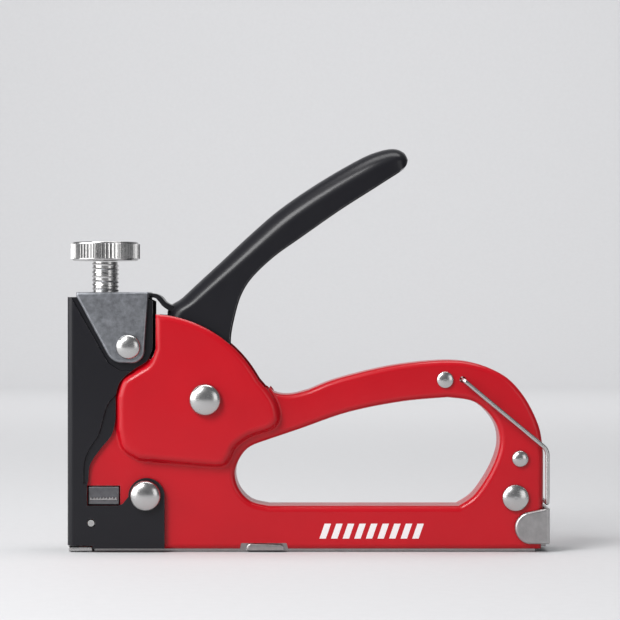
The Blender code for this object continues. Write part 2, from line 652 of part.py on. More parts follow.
def rear_latch():
    """The bent plate at the rear end of the magazine."""
    latch = mirrored_slab("rear_latch", [latch_outline()], rounded(LATCH_OUT, 0.3, 0.3, 1), "satin_steel")
    inside = box_loop(40.0, -2.0, 71.5, 30.0)
    cut(latch, mirrored_slab("latch_inside", [inside], [(LATCH_IN, 0)]))
    join(latch, box("latch_lip", (67.0, 72.0), (-5.0, 5.0), (1.3, 2.9)))
    cut(latch, turned("latch_bore", [(0, 60.0), (1.5, 60.0), (1.5, 80.0), (0, 80.0)], (0, ROD_Z), "X",
                      segments=16))
    return latch


def pusher_rod():
    """The rod that guides the magazine spring. It is fixed to the rear latch."""
    profile = [(0, 72.6), (1.2, 72.6), (1.2, -64.6), (2.2, -64.6), (2.2, -66.0), (0, -66.0)]
    return turned("pusher_rod", profile, (0, ROD_Z), "X", "nickel", 12)


def follower():
    """The pusher that rides on the rail, with a foot inside it that the spring presses on."""
    saddle = box("follower", (-64.0, -52.0), (-5.5, 5.5), (6.0, 11.2), "satin_steel")
    cut(saddle, box("saddle_inside", (-70.0, -40.0), (-4.9, 4.9), (0.0, 10.1)))
    neck = box("follower_neck", (-62.0, -54.0), (-1.2, 1.2), (7.5, 10.6))
    foot = box("follower_foot", (-64.0, -55.0), (-3.2, 3.2), (2.4, 8.4))
    join(saddle, neck, foot)
    cut(saddle, turned("follower_bore", [(0, -80.0), (1.5, -80.0), (1.5, -30.0), (0, -30.0)], (0, ROD_Z), "X",
                       segments=16))
    return saddle


def pusher_spring():
    """The long coil that presses the follower forwards."""
    tube("pusher_spring", coil_path((0.0, ROD_Z), 2.15, -54.3, 65.6, 18, "X"), 0.35, 4, "satin_steel")


# ---------------------------------------------------------------- assembly

def hang(name, place, pieces):
    """Parents a moving body's pieces to an empty on its joint axis."""
    empty = bpy.data.objects.new(name, None)
    empty.location = [c * MM for c in place]
    bpy.context.scene.collection.objects.link(empty)
    bpy.context.view_layer.update()
    for piece in pieces:
        piece.parent = empty
        piece.matrix_parent_inverse = empty.matrix_world.inverted()


def make_materials():
    """A plain material for each finish."""
    for name, (colour, roughness, metallic) in COLOURS.items():
        material = bpy.data.materials.new(name)
        material.use_nodes = True
        shader = material.node_tree.nodes["Principled BSDF"]
        shader.inputs["Base Color"].default_value = (*colour, 1.0)
        shader.inputs["Roughness"].default_value = roughness
        shader.inputs["Metallic"].default_value = metallic


def clear_scene():
    """Removes whatever the scene holds at the start."""
    for obj in list(bpy.data.objects):
        bpy.data.objects.remove(obj)


def main():
    """Builds every piece and hangs the moving ones on their axes."""
    clear_scene()
    make_materials()
    mirror_copy("right_body_shell", left_shell(), "red_paint")
    front_cover()
    top_bracket()
    adjuster_nut()
    striker_stop()
    striker_buffer()
    nose_foot()
    rivets_and_spacers()
    magazine_channel()
    staple_rail()
    power_spring()
    hang("striker_slide", (SCREW_X, 0, 24.8), striker())
    cap, turning = adjuster()
    hang("cap_slide", (SCREW_X, 0, 68.7), cap)
    hang("adjuster_axis", (SCREW_X, 0, 87.9), turning)
    hang("handle_axis", (PIVOT[0], 0, PIVOT[1]), [handle(), lever_arm()])
    hang("lock_axis", (BAIL_PIVOT[0], 0, BAIL_PIVOT[1]), [handle_lock()])
    hang("pusher_slide", (REAR, 0, ROD_Z), [rear_latch(), pusher_rod()])
    hang("follower_slide", (-64.0, 0, ROD_Z), [follower()])
    pusher_spring()


main()
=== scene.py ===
"""Looks of a compact hand staple gun: fine meshes and finishes around the fixed mechanical model.

Frame: +X from the nose to the rear, +Z up, -Y is the tool's left side. Shapes are drawn in millimetres.
"""

import bpy
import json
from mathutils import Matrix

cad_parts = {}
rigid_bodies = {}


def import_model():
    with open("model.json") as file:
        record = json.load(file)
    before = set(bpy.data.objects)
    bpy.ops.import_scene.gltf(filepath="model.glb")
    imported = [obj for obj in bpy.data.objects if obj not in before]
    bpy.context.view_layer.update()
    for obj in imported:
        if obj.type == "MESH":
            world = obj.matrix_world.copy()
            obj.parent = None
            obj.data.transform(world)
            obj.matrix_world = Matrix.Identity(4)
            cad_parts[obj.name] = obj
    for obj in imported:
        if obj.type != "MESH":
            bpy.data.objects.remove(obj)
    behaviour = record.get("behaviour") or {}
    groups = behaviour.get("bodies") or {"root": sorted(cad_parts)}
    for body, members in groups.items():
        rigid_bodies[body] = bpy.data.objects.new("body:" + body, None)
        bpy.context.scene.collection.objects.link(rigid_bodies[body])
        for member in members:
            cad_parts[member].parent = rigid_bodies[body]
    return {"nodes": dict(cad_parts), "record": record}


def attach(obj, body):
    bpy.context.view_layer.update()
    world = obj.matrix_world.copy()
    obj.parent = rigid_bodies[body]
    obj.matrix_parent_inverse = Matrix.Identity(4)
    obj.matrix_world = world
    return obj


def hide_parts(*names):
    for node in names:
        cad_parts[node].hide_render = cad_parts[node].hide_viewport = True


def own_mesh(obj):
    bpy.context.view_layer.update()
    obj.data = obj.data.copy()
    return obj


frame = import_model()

for spare in [thing for thing in bpy.data.objects if thing.name in ("Cube", "Light", "Camera")]:
    bpy.data.objects.remove(spare)
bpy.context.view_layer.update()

import json
import logging
import math
from collections.abc import Callable, Iterable, Sequence
from dataclasses import dataclass, field
from enum import Enum

import bmesh
from mathutils import Matrix, Vector

log = logging.getLogger("staple_gun")

MM = 0.001
Point = tuple[float, float]
Point3 = tuple[float, float, float]
Inset = float | Callable[[Point], float]
Level = tuple[float, Inset]


# ---------------------------------------------------------------- outlines

def arc(centre: Point, radius: float, start: float, end: float, steps: int) -> list[Point]:
    """Points on a circle.

    Args:
        centre: the circle's centre.
        radius: its radius.
        start: first angle, in degrees.
        end: last angle, in degrees.
        steps: number of equal steps between the two.

    Returns:
        The points, both ends included.
    """
    first, span = math.radians(start), math.radians(end - start) / steps
    return [
        (centre[0] + radius * math.cos(first + span * i), centre[1] + radius * math.sin(first + span * i))
        for i in range(steps + 1)
    ]


def curve(points: Sequence[Sequence[float]], steps: int) -> list[tuple[float, ...]]:
    """A smooth curve through points of any dimension.

    Args:
        points: what the curve passes through.
        steps: number of steps in each span.

    Returns:
        The points of a Catmull-Rom curve.
    """
    held = [points[0], *points, points[-1]]
    made: list[tuple[float, ...]] = []
    for a, b, c, d in zip(held, held[1:], held[2:], held[3:]):
        for k in range(steps):
            t = k / steps
            made.append(tuple(
                0.5 * (2 * q + (r - p) * t + (2 * p - 5 * q + 4 * r - s) * t * t
                       + (3 * q - p - 3 * r + s) * t ** 3)
                for p, q, r, s in zip(a, b, c, d)
            ))
    made.append(tuple(points[-1]))
    return made


def turned_left(loop: list[Point]) -> list[Point]:
    """The loop, reversed if it doesn't run counterclockwise."""
    twice = sum(a[0] * b[1] - b[0] * a[1] for a, b in zip(loop, loop[1:] + loop[:1]))
    return loop if twice > 0 else loop[::-1]


def grown(loop: list[Point], distance: Inset) -> list[Point]:
    """Moves a counterclockwise loop outwards.

    Args:
        loop: the closed loop.
        distance: how far, as one number or as a function of the point.

    Returns:
        The moved loop, with as many points.
    """
    made = []
    for before, here, after in zip(loop[-1:] + loop[:-1], loop, loop[1:] + loop[:1]):
        a = Vector((here[0] - before[0], here[1] - before[1])).normalized()
        b = Vector((after[0] - here[0], after[1] - here[1])).normalized()
        normal = Vector((a.y + b.y, -a.x - b.x))
        far = distance(here) if callable(distance) else distance
        miter = far / max(normal.length_squared / 2, 0.5)
        made.append((here[0] + normal.x * miter, here[1] + normal.y * miter))
    return made


def rectangle(low: Point, high: Point) -> list[Point]:
    """A rectangle between two corners."""
    return [low, (high[0], low[1]), high, (low[0], high[1])]


def filleted(path: Sequence[Point3], radius: float, steps: int) -> list[Point3]:
    """Rounds the corners of a path in space.

    Args:
        path: the corners, first and last included.
        radius: how far from a corner its bend starts.
        steps: number of steps in each bend.

    Returns:
        The rounded path.
    """
    made = [tuple(path[0])]
    for before, here, after in zip(path, path[1:], path[2:]):
        corner = Vector(here)
        start = corner + (Vector(before) - corner).normalized() * radius
        end = corner + (Vector(after) - corner).normalized() * radius
        for k in range(steps + 1):
            t = k / steps
            made.append(tuple(start * (1 - t) ** 2 + corner * (2 * t * (1 - t)) + end * t * t))
    made.append(tuple(path[-1]))
    return made


# ---------------------------------------------------------------- meshes

def placed(name: str, data: bpy.types.ID) -> bpy.types.Object:
    """Puts an object with this data into the scene.

    Args:
        name: the object's name.
        data: its mesh, light or camera.

    Returns:
        The object, at the origin.
    """
    made = bpy.data.objects.new(name, data)
    bpy.context.scene.collection.objects.link(made)
    return made


def new_piece(name: str, build: Callable[[bmesh.types.BMesh], None]) -> bpy.types.Object:
    """Makes an object from a function that fills a mesh in millimetres.

    Args:
        name: the piece's name.
        build: adds the vertices and faces.

    Returns:
        The object, at the origin, in metres, with its faces turned outwards.
    """
    mesh = bpy.data.meshes.new(name)
    bm = bmesh.new()
    build(bm)
    bmesh.ops.remove_doubles(bm, verts=bm.verts, dist=1e-4)
    bmesh.ops.scale(bm, verts=bm.verts, vec=(MM, MM, MM))
    bmesh.ops.recalc_face_normals(bm, faces=bm.faces)
    bm.to_mesh(mesh)
    bm.free()
    return placed(name, mesh)


def skin(bm: bmesh.types.BMesh, rings: list[list[bmesh.types.BMVert]], closed: bool = False) -> None:
    """Covers the space between rings of vertices, skipping corners that coincide.

    Args:
        bm: the mesh to add faces to.
        rings: rings with equal numbers of vertices.
        closed: whether the last ring joins the first.
    """
    following = rings[1:] + rings[:1] if closed else rings[1:]
    for low, high in zip(rings, following):
        for i in range(len(low)):
            j = (i + 1) % len(low)
            corners = list(dict.fromkeys((low[i], low[j], high[j], high[i])))
            if len(corners) > 2:
                bm.faces.new(corners)


def slab(name: str, loops: list[list[Point]], levels: Sequence[Level]) -> bpy.types.Object:
    """A plate seen from the side, built up in levels across the tool.

    Args:
        name: the piece's name.
        loops: the outside, then any holes, each counterclockwise.
        levels: (y, inset) pairs; an inset draws the outside in and opens the holes.

    Returns:
        The closed solid.
    """
    def build(bm: bmesh.types.BMesh) -> None:
        """Stacks the loops and closes both ends."""
        stacks: list[list[list[bmesh.types.BMVert]]] = []
        for number, loop in enumerate(loops):
            stack = []
            for y, inset in levels:
                def step(point: Point, inset: Inset = inset, hole: bool = number > 0) -> float:
                    """How far outwards a point of this loop moves at this level."""
                    size = inset(point) if callable(inset) else inset
                    return size if hole else -size
                stack.append([bm.verts.new((x, y, z)) for x, z in grown(loop, step)])
            skin(bm, stack)
            stacks.append(stack)
        for end in (0, -1):
            edges = []
            for stack in stacks:
                ring = stack[end]
                for a, b in zip(ring, ring[1:] + ring[:1]):
                    edges.append(bm.edges.get((a, b)) or bm.edges.new((a, b)))
            bmesh.ops.triangle_fill(bm, edges=edges, use_beauty=True)
    return new_piece(name, build)


def mirrored(levels: Sequence[Level]) -> list[Level]:
    """Levels from the middle outwards, repeated on the other side of the middle plane."""
    return [(-y, inset) for y, inset in reversed(levels)] + list(levels)


def rounded_face(y: float, edge: float, steps: int) -> list[Level]:
    """Levels that end in a flat face at y with a quarter-round edge."""
    quarter = math.pi / 2 / steps
    return [
        (y - edge * (1 - math.sin(quarter * i)), edge * (1 - math.cos(quarter * i)))
        for i in range(steps + 1)
    ]


def lathe(name: str, profile: Sequence[Point], centre: Point, axis: str, segments: int) -> bpy.types.Object:
    """A turned solid.

    Args:
        name: the piece's name.
        profile: (radius, place along the axis) pairs; it joins up with itself if it starts off the axis.
        centre: where the axis is, in the other two coordinates.
        axis: "X", "Y" or "Z".
        segments: number of sides.

    Returns:
        The closed solid.
    """
    order = {"X": (2, 0, 1), "Y": (0, 2, 1), "Z": (0, 1, 2)}[axis]

    def build(bm: bmesh.types.BMesh) -> None:
        """Turns each point of the profile into a ring, or into one vertex on the axis."""
        rings = []
        for radius, along in profile:
            ring = []
            for i in range(segments):
                angle = 2 * math.pi * i / segments
                turned = (centre[0] + radius * math.cos(angle), centre[1] + radius * math.sin(angle), along)
                ring.append(bm.verts.new([turned[k] for k in order]))
                if radius == 0:
                    ring = ring * segments
                    break
            rings.append(ring)
        skin(bm, rings, closed=profile[0][0] > 0)
    return new_piece(name, build)


def loft(name: str, sections: Sequence[Sequence[Point3]]) -> bpy.types.Object:
    """A solid through sections that have equal numbers of points.

    Args:
        name: the piece's name.
        sections: the sections, from one end to the other.

    Returns:
        The closed solid.
    """
    def build(bm: bmesh.types.BMesh) -> None:
        """Joins the sections and caps both ends."""
        rings = [[bm.verts.new(point) for point in section] for section in sections]
        skin(bm, rings)
        bm.faces.new(rings[0])
        bm.faces.new(rings[-1])
    return new_piece(name, build)


def wire(name: str, path: Sequence[Point3], radius: float, sides: int) -> bpy.types.Object:
    """A round wire along a path, with slightly rounded ends.

    Args:
        name: the piece's name.
        path: the wire's middle line.
        radius: the wire's radius.
        sides: number of sides.

    Returns:
        The closed solid.
    """
    points = [Vector(p) for p in path]

    def build(bm: bmesh.types.BMesh) -> None:
        """Carries a ring along the path without twisting it, and caps both ends."""
        rings = []
        normal = Vector((0, 0, 1))
        for i, here in enumerate(points):
            along = (points[min(i + 1, len(points) - 1)] - points[max(i - 1, 0)]).normalized()
            if abs(along.dot(normal)) > 0.95:
                normal = Vector((1, 0, 0))
            normal = (normal - along * normal.dot(along)).normalized()
            side = along.cross(normal)
            size = radius * (0.75 if i in (0, len(points) - 1) else 1.0)
            rings.append([
                bm.verts.new(here + normal * (size * math.cos(turn)) + side * (size * math.sin(turn)))
                for turn in (2 * math.pi * k / sides for k in range(sides))
            ])
        skin(bm, rings)
        bm.faces.new(rings[0])
        bm.faces.new(rings[-1])
    return new_piece(name, build)


def settled(piece: bpy.types.Object) -> bpy.types.Object:
    """Turns a piece with modifiers into a plain mesh and takes the modifiers off.

    Args:
        piece: the piece.

    Returns:
        The same piece.
    """
    bpy.context.view_layer.update()
    finished = piece.evaluated_get(bpy.context.evaluated_depsgraph_get())
    mesh = bpy.data.meshes.new_from_object(finished)
    mesh.name = piece.name
    piece.modifiers.clear()
    piece.data = mesh
    return piece


def sealed(piece: bpy.types.Object) -> bpy.types.Object:
    """Fills the hair-thin gaps that cutting can leave along nearly parallel edges.

    Args:
        piece: the piece.

    Returns:
        The same piece.
    """
    bm = bmesh.new()
    bm.from_mesh(piece.data)
    bmesh.ops.holes_fill(bm, edges=[edge for edge in bm.edges if edge.is_boundary], sides=0)
    bmesh.ops.recalc_face_normals(bm, faces=bm.faces)
    bm.to_mesh(piece.data)
    bm.free()
    return piece


def combine(piece: bpy.types.Object, others: Iterable[bpy.types.Object],
            operation: str) -> bpy.types.Object:
    """Joins other solids to a piece, or cuts them away, and removes them.

    Args:
        piece: the solid to change.
        others: the solids to join or to cut with.
        operation: "UNION" or "DIFFERENCE".

    Returns:
        The changed piece.
    """
    for other in others:
        modifier = piece.modifiers.new("Combine", "BOOLEAN")
        modifier.operation = operation
        modifier.object = other
        settled(piece)
        bpy.data.objects.remove(other)
    return piece


def drilled(piece: bpy.types.Object, holes: Iterable[tuple[Point, float]]) -> bpy.types.Object:
    """Drills round holes across the whole width.

    Args:
        piece: the solid to drill.
        holes: (centre, radius) pairs.

    Returns:
        The drilled piece.
    """
    reach = 20.0
    for centre, radius in holes:
        profile = [(0, -reach), (radius, -reach), (radius, reach), (0, reach)]
        combine(piece, [lathe("drill", profile, centre, "Y", 32)], "DIFFERENCE")
    return piece


def smoothed(piece: bpy.types.Object, edge: float = 0.0, sharp: float = 32.0) -> bpy.types.Object:
    """Breaks the sharp edges and shades a piece so that flat faces stay flat.

    Args:
        piece: the piece to finish.
        edge: width of the broken edges in millimetres; none at 0.
        sharp: the angle, in degrees, from which an edge counts as sharp.

    Returns:
        The finished piece.
    """
    if edge:
        bevel = piece.modifiers.new("Edges", "BEVEL")
        bevel.width = edge * MM
        bevel.segments = 2
        bevel.limit_method = "ANGLE"
        bevel.angle_limit = math.radians(sharp)
        settled(piece)
    piece.data.shade_smooth()
    piece.data.set_sharp_from_angle(angle=math.radians(sharp))
    weighted = piece.modifiers.new("Flats", "WEIGHTED_NORMAL")
    weighted.keep_sharp = True
    return settled(piece)


# ---------------------------------------------------------------- node graphs

@dataclass(frozen=True)
class Wire:
    """An output socket that takes part in arithmetic."""

    graph: "Graph"
    socket: bpy.types.NodeSocket

    def __add__(self, other: "Wire | float") -> "Wire":
        """Sum."""
        return self.graph.math("ADD", self, other)

    def __radd__(self, other: float) -> "Wire":
        """Sum with a number on the left."""
        return self.graph.math("ADD", other, self)

    def __sub__(self, other: "Wire | float") -> "Wire":
        """Difference."""
        return self.graph.math("SUBTRACT", self, other)

    def __rsub__(self, other: float) -> "Wire":
        """Difference from a number on the left."""
        return self.graph.math("SUBTRACT", other, self)

    def __mul__(self, other: "Wire | float") -> "Wire":
        """Product."""
        return self.graph.math("MULTIPLY", self, other)

    def __truediv__(self, other: "Wire | float") -> "Wire":
        """Quotient."""
        return self.graph.math("DIVIDE", self, other)

    def __pow__(self, other: "Wire | float") -> "Wire":
        """Power."""
        return self.graph.math("POWER", self, other)

    def clipped(self) -> "Wire":
        """The value held between 0 and 1."""
        return self.graph.math("MINIMUM", self.graph.math("MAXIMUM", self, 0.0), 1.0)

    def above(self, edge: float, soft: float) -> "Wire":
        """A soft step that rises from 0 to 1 around an edge."""
        return ((self - (edge - soft / 2)) / soft).clipped()


Feed = Wire | float | tuple | str | bool | bpy.types.ID


@dataclass
class Graph:
    """Adds nodes to a node tree."""

    tree: bpy.types.NodeTree

    def node(self, kind: str, settings: dict | None = None, inputs: dict | None = None,
             output: int | str = 0) -> Wire:
        """Adds one node.

        Args:
            kind: the node's type.
            settings: its own settings, set first; "stops" is a ramp's list of (place, colour).
            inputs: values or links of its sockets, by name or number.
            output: which output to return.

        Returns:
            That output.
        """
        made = self.tree.nodes.new(kind)
        for key, value in (settings or {}).items():
            if key == "stops":
                self._set_stops(made.color_ramp, value)
            else:
                setattr(made, key, value)
        for key, value in (inputs or {}).items():
            self.feed(made.inputs[key], value)
        return Wire(self, made.outputs[output])

    @staticmethod
    def _set_stops(ramp: bpy.types.ColorRamp, stops: Sequence[tuple[float, tuple]]) -> None:
        """Replaces a ramp's stops.

        Args:
            ramp: the colour ramp.
            stops: (place, colour) pairs.
        """
        while len(ramp.elements) < len(stops):
            ramp.elements.new(1.0)
        for element, (place, colour) in zip(ramp.elements, stops):
            element.position = place
            element.color = colour

    def feed(self, socket: bpy.types.NodeSocket, value: Feed) -> None:
        """Links a wire to a socket, or sets the socket's value.

        Args:
            socket: the input.
            value: a wire, or a plain value.
        """
        if isinstance(value, Wire):
            self.tree.links.new(value.socket, socket)
        else:
            socket.default_value = value

    def math(self, operation: str, *values: Wire | float) -> Wire:
        """A Math node."""
        return self.node("ShaderNodeMath", {"operation": operation}, dict(enumerate(values)))

    def noise(self, where: Wire, scale: float, detail: float = 3.0, rough: float = 0.5) -> Wire:
        """Cloudy noise; the scale is in features a metre."""
        return self.node("ShaderNodeTexNoise", {}, {
            "Vector": where, "Scale": scale, "Detail": detail, "Roughness": rough})

    def mix(self, factor: Wire | float, first: Feed, second: Feed) -> Wire:
        """A blend of two colours."""
        return self.node("ShaderNodeMix", {"data_type": "RGBA"}, {0: factor, 6: first, 7: second}, 2)

    def stretched(self, where: Wire, scale: Point3) -> Wire:
        """Coordinates multiplied along each axis."""
        return self.node("ShaderNodeVectorMath", {"operation": "MULTIPLY"}, {0: where, 1: scale})

    def axes(self, where: Wire) -> tuple[Wire, ...]:
        """Splits coordinates.

        Args:
            where: the coordinates.

        Returns:
            One wire for each of x, y and z.
        """
        split = self.tree.nodes.new("ShaderNodeSeparateXYZ")
        self.feed(split.inputs[0], where)
        return tuple(Wire(self, out) for out in split.outputs)

    def joined(self, *parts: Wire) -> Wire:
        """Puts geometries together.

        Args:
            parts: the geometries, in the order in which they are joined.

        Returns:
            The joined geometry.
        """
        join = self.tree.nodes.new("GeometryNodeJoinGeometry")
        for part in parts:
            self.tree.links.new(part.socket, join.inputs[0])
        return Wire(self, join.outputs[0])


# ---------------------------------------------------------------- finishes

def shade(colour: Point3, factor: float) -> tuple[float, float, float, float]:
    """A colour made lighter or darker, with full opacity."""
    return (*(min(1.0, c * factor) for c in colour), 1.0)


@dataclass(frozen=True)
class Finish:
    """What every finish has in common: a shader on the piece's own coordinates."""

    name: str
    colour: Point3
    roughness: float

    def start(self) -> tuple[bpy.types.Material, Graph, Wire, bpy.types.Node]:
        """An empty material with its graph, coordinates and main shader.

        Returns:
            The material, its graph, the coordinates and the shader.
        """
        material = bpy.data.materials.new(self.name)
        material.use_nodes = True
        graph = Graph(material.node_tree)
        where = graph.node("ShaderNodeTexCoord", output="Object")
        shader = material.node_tree.nodes["Principled BSDF"]
        return material, graph, where, shader

    @staticmethod
    def edges(graph: Graph, radius: float) -> Wire:
        """How near a sharp edge is: 0 on a flat, towards 1 on the edge.

        Args:
            graph: the material's graph.
            radius: how far an edge reaches, in millimetres.

        Returns:
            The nearness, between 0 and 1.
        """
        bent = graph.node("ShaderNodeBevel", {"samples": 4}, {"Radius": radius * MM})
        true = graph.node("ShaderNodeNewGeometry", output="Normal")
        same = graph.node("ShaderNodeVectorMath", {"operation": "DOT_PRODUCT"}, {0: bent, 1: true}, "Value")
        contrast = 3.0
        return ((1 - same) * contrast).clipped()

    @staticmethod
    def bump(graph: Graph, height: Wire, strength: float, distance: float) -> Wire:
        """A bump from a height; the distance is in millimetres."""
        return graph.node("ShaderNodeBump", {}, {
            "Height": height, "Strength": strength, "Distance": distance * MM})


@dataclass(frozen=True)
class Enamel(Finish):
    """Baked paint over steel: a soft orange peel, faint clouding and small chips along the edges."""

    coat: float = 0.3
    shine: float = 0.5
    peel: float = 0.02
    bared: Point3 = (0.3, 0.29, 0.29)
    chipping: float = 0.5
    mark: Point3 | None = None
    cover: float = 0.92

    def build(self) -> bpy.types.Material:
        """Makes the material.

        Returns:
            The material.
        """
        material, graph, where, shader = self.start()
        cloud = graph.noise(where, scale=55.0, detail=2.0)
        colour = graph.mix(cloud, shade(self.colour, 0.9), shade(self.colour, 1.1))
        edge = self.edges(graph, 0.45)
        grit = graph.noise(where, scale=900.0, detail=4.0, rough=0.65)
        chips = (edge * grit).above(edge=0.47, soft=0.05) * self.chipping
        colour = graph.mix(chips, colour, shade(self.bared, 1.0))
        if self.mark:
            ink = self.printed(graph, where) * self.cover
            colour = graph.mix(ink, colour, shade(self.mark, 1.0))
        handling = graph.noise(where, scale=120.0, detail=5.0, rough=0.6)
        roughness = self.roughness * 0.8 + handling * (self.roughness * 0.4) + chips * 0.2
        upright = graph.stretched(where, (1.0, 1.0, 0.12))
        scuffs = graph.noise(upright, scale=1400.0, detail=2.0).above(edge=0.71, soft=0.06)
        graph.feed(shader.inputs["Base Color"], colour)
        graph.feed(shader.inputs["Roughness"], roughness + scuffs * 0.05)
        shader.inputs["Specular IOR Level"].default_value = self.shine
        shader.inputs["Coat Weight"].default_value = self.coat
        shader.inputs["Coat Roughness"].default_value = 0.12
        peel = graph.noise(where, scale=700.0, detail=2.0)
        relief = self.bump(graph, peel - chips * 0.6, strength=0.35, distance=self.peel)
        graph.feed(shader.inputs["Normal"], relief)
        return material

    @staticmethod
    def printed(graph: Graph, where: Wire) -> Wire:
        """A generic printed mark: a row of slanted bars low on the left side.

        Args:
            graph: the material's graph.
            where: the piece's coordinates.

        Returns:
            1 on a bar, 0 elsewhere.
        """
        low, high = (3.3 * MM, 3.9 * MM), (34.8 * MM, 8.4 * MM)
        lean, pitch, ink_share, left_face = 0.35, 3.5 * MM, 0.55, -7.5 * MM
        x, y, z = graph.axes(where)
        slant = (x - low[0]) - (z - low[1]) * lean
        bars = graph.math("LESS_THAN", graph.math("FRACT", slant / pitch), ink_share)
        inside = graph.math("GREATER_THAN", slant, 0.0) * graph.math("LESS_THAN", slant, high[0] - low[0])
        inside = inside * graph.math("GREATER_THAN", z, low[1]) * graph.math("LESS_THAN", z, high[1])
        return bars * inside * graph.math("LESS_THAN", y, left_face)


@dataclass(frozen=True)
class Plating(Finish):
    """A metal finish with mottling, fine scratches and a painted highlight: sharp edges painted brighter.
    """

    mottle: float = 0.15
    mottle_scale: float = 450.0
    grain: Point3 = (1.0, 1.0, 1.0)
    scratch: float = 0.3
    relief: float = 0.01

    def build(self) -> bpy.types.Material:
        """Makes the material.

        Returns:
            The material.
        """
        material, graph, where, shader = self.start()
        patches = graph.noise(where, scale=self.mottle_scale, detail=4.0, rough=0.6)
        fine = graph.noise(graph.stretched(where, self.grain), scale=2600.0, detail=3.0, rough=0.6)
        edge = self.edges(graph, 0.3)
        tone = (0.5 + (patches - 0.5) * 1.6 + (fine - 0.5) * 0.5).clipped()
        dark, light = shade(self.colour, 1 - self.mottle), shade(self.colour, 1 + self.mottle)
        # Painted highlight: the colour near sharp edges is lightened up to 1.8 times, standing in for the
        # light the edges catch.
        colour = graph.mix(edge * 0.7, graph.mix(tone, dark, light), shade(self.colour, 1.8))
        lengthwise = graph.stretched(where, (0.08, 1.0, 1.0))
        lines = graph.noise(lengthwise, scale=3200.0, detail=2.0).above(edge=0.66, soft=0.08)
        roughness = self.roughness * 0.75 + patches * (self.roughness * 0.5) + lines * (0.12 * self.scratch)
        graph.feed(shader.inputs["Base Color"], colour)
        graph.feed(shader.inputs["Roughness"], roughness)
        shader.inputs["Metallic"].default_value = 1.0
        height = fine * 0.6 + patches * 0.4 - lines * self.scratch
        graph.feed(shader.inputs["Normal"], self.bump(graph, height, strength=0.3, distance=self.relief))
        return material


@dataclass(frozen=True)
class Rubber(Finish):
    """A dull moulded rubber."""

    def build(self) -> bpy.types.Material:
        """Makes the material.

        Returns:
            The material.
        """
        material, graph, where, shader = self.start()
        dust = graph.noise(where, scale=300.0, detail=4.0)
        colour = graph.mix(dust, shade(self.colour, 0.8), shade(self.colour, 1.6))
        graph.feed(shader.inputs["Base Color"], colour)
        graph.feed(shader.inputs["Roughness"], self.roughness + dust * 0.1)
        graph.feed(shader.inputs["Normal"], self.bump(graph, dust, strength=0.4, distance=0.03))
        return material


@dataclass(frozen=True)
class Paper(Finish):
    """Pale matt paper with faint fibres."""

    light: Point3 = (0.58, 0.58, 0.59)

    def build(self) -> bpy.types.Material:
        """Makes the material.

        Returns:
            The material.
        """
        material, graph, where, shader = self.start()
        fibre = graph.noise(where, scale=260.0, detail=5.0, rough=0.6)
        tone = graph.mix(fibre, shade(self.colour, 1.0), shade(self.light, 1.0))
        graph.feed(shader.inputs["Base Color"], tone)
        shader.inputs["Roughness"].default_value = self.roughness
        return material


class Slot(Enum):
    """The finishes, each with the name of its material slot."""

    RED = "red_paint"
    BLACK = "black_paint"
    ZINC = "zinc_plate"
    NICKEL = "nickel"
    SATIN = "satin_steel"
    HARD = "hard_steel"
    RUBBER = "bumper_rubber"


FINISHES: dict[Slot, Finish] = {
    Slot.RED: Enamel("Red enamel", (0.45, 0.002, 0.009), 0.32, coat=0.15, shine=0.3,
                     mark=(0.85, 0.85, 0.85)),
    Slot.BLACK: Enamel("Black enamel", (0.009, 0.0088, 0.0115), 0.34, coat=0.08, shine=0.25, peel=0.012,
                       chipping=0.25),
    Slot.ZINC: Plating("Zinc plate", (0.26, 0.27, 0.29), 0.4, mottle=0.3, mottle_scale=700.0, relief=0.02),
    Slot.NICKEL: Plating("Nickel", (0.52, 0.515, 0.51), 0.25, mottle=0.05, scratch=0.2, relief=0.003),
    Slot.SATIN: Plating("Satin steel", (0.42, 0.41, 0.41), 0.36, grain=(1.0, 1.0, 0.06), relief=0.012),
    Slot.HARD: Plating("Hardened steel", (0.16, 0.16, 0.17), 0.4, mottle=0.25, relief=0.015),
    Slot.RUBBER: Rubber("Bumper rubber", (0.03, 0.03, 0.03), 0.75),
}


@dataclass
class Wardrobe:
    """Holds the made materials, and puts a piece on its body with its finish."""

    made: dict[Slot, bpy.types.Material] = field(default_factory=dict)

    def material(self, slot: Slot) -> bpy.types.Material:
        """The material of a slot, made on first use.

        Args:
            slot: the slot.

        Returns:
            Its material.
        """
        if slot not in self.made:
            self.made[slot] = FINISHES[slot].build()
        return self.made[slot]

    def dress(self, piece: bpy.types.Object, slot: Slot, body: str, *nodes: str) -> bpy.types.Object:
        """Finishes one piece.

        Args:
            piece: the piece.
            slot: its finish.
            body: the body that it rides on.
            nodes: the mechanical model's nodes that it stands for.

        Returns:
            The piece.
        """
        piece.data.materials.clear()
        piece.data.materials.append(self.material(slot))
        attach(piece, body)
        if nodes:
            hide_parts(*nodes)
        log.info("%s rides on %s, finished in %s", piece.name, body, slot.value)
        return piece

    def dress_node(self, node: str) -> None:
        """Gives one of the mechanical model's own nodes its finish.

        Args:
            node: the node's name.
        """
        slots = {row["node"]: row["material_slot"] for row in frame["record"]["subparts"]}
        mesh = frame["nodes"][node].data
        mesh.materials.clear()
        mesh.materials.append(self.material(Slot(slots[node])))
        log.info("%s keeps its shape, finished in %s", node, slots[node])


# ---------------------------------------------------------------- repeated features

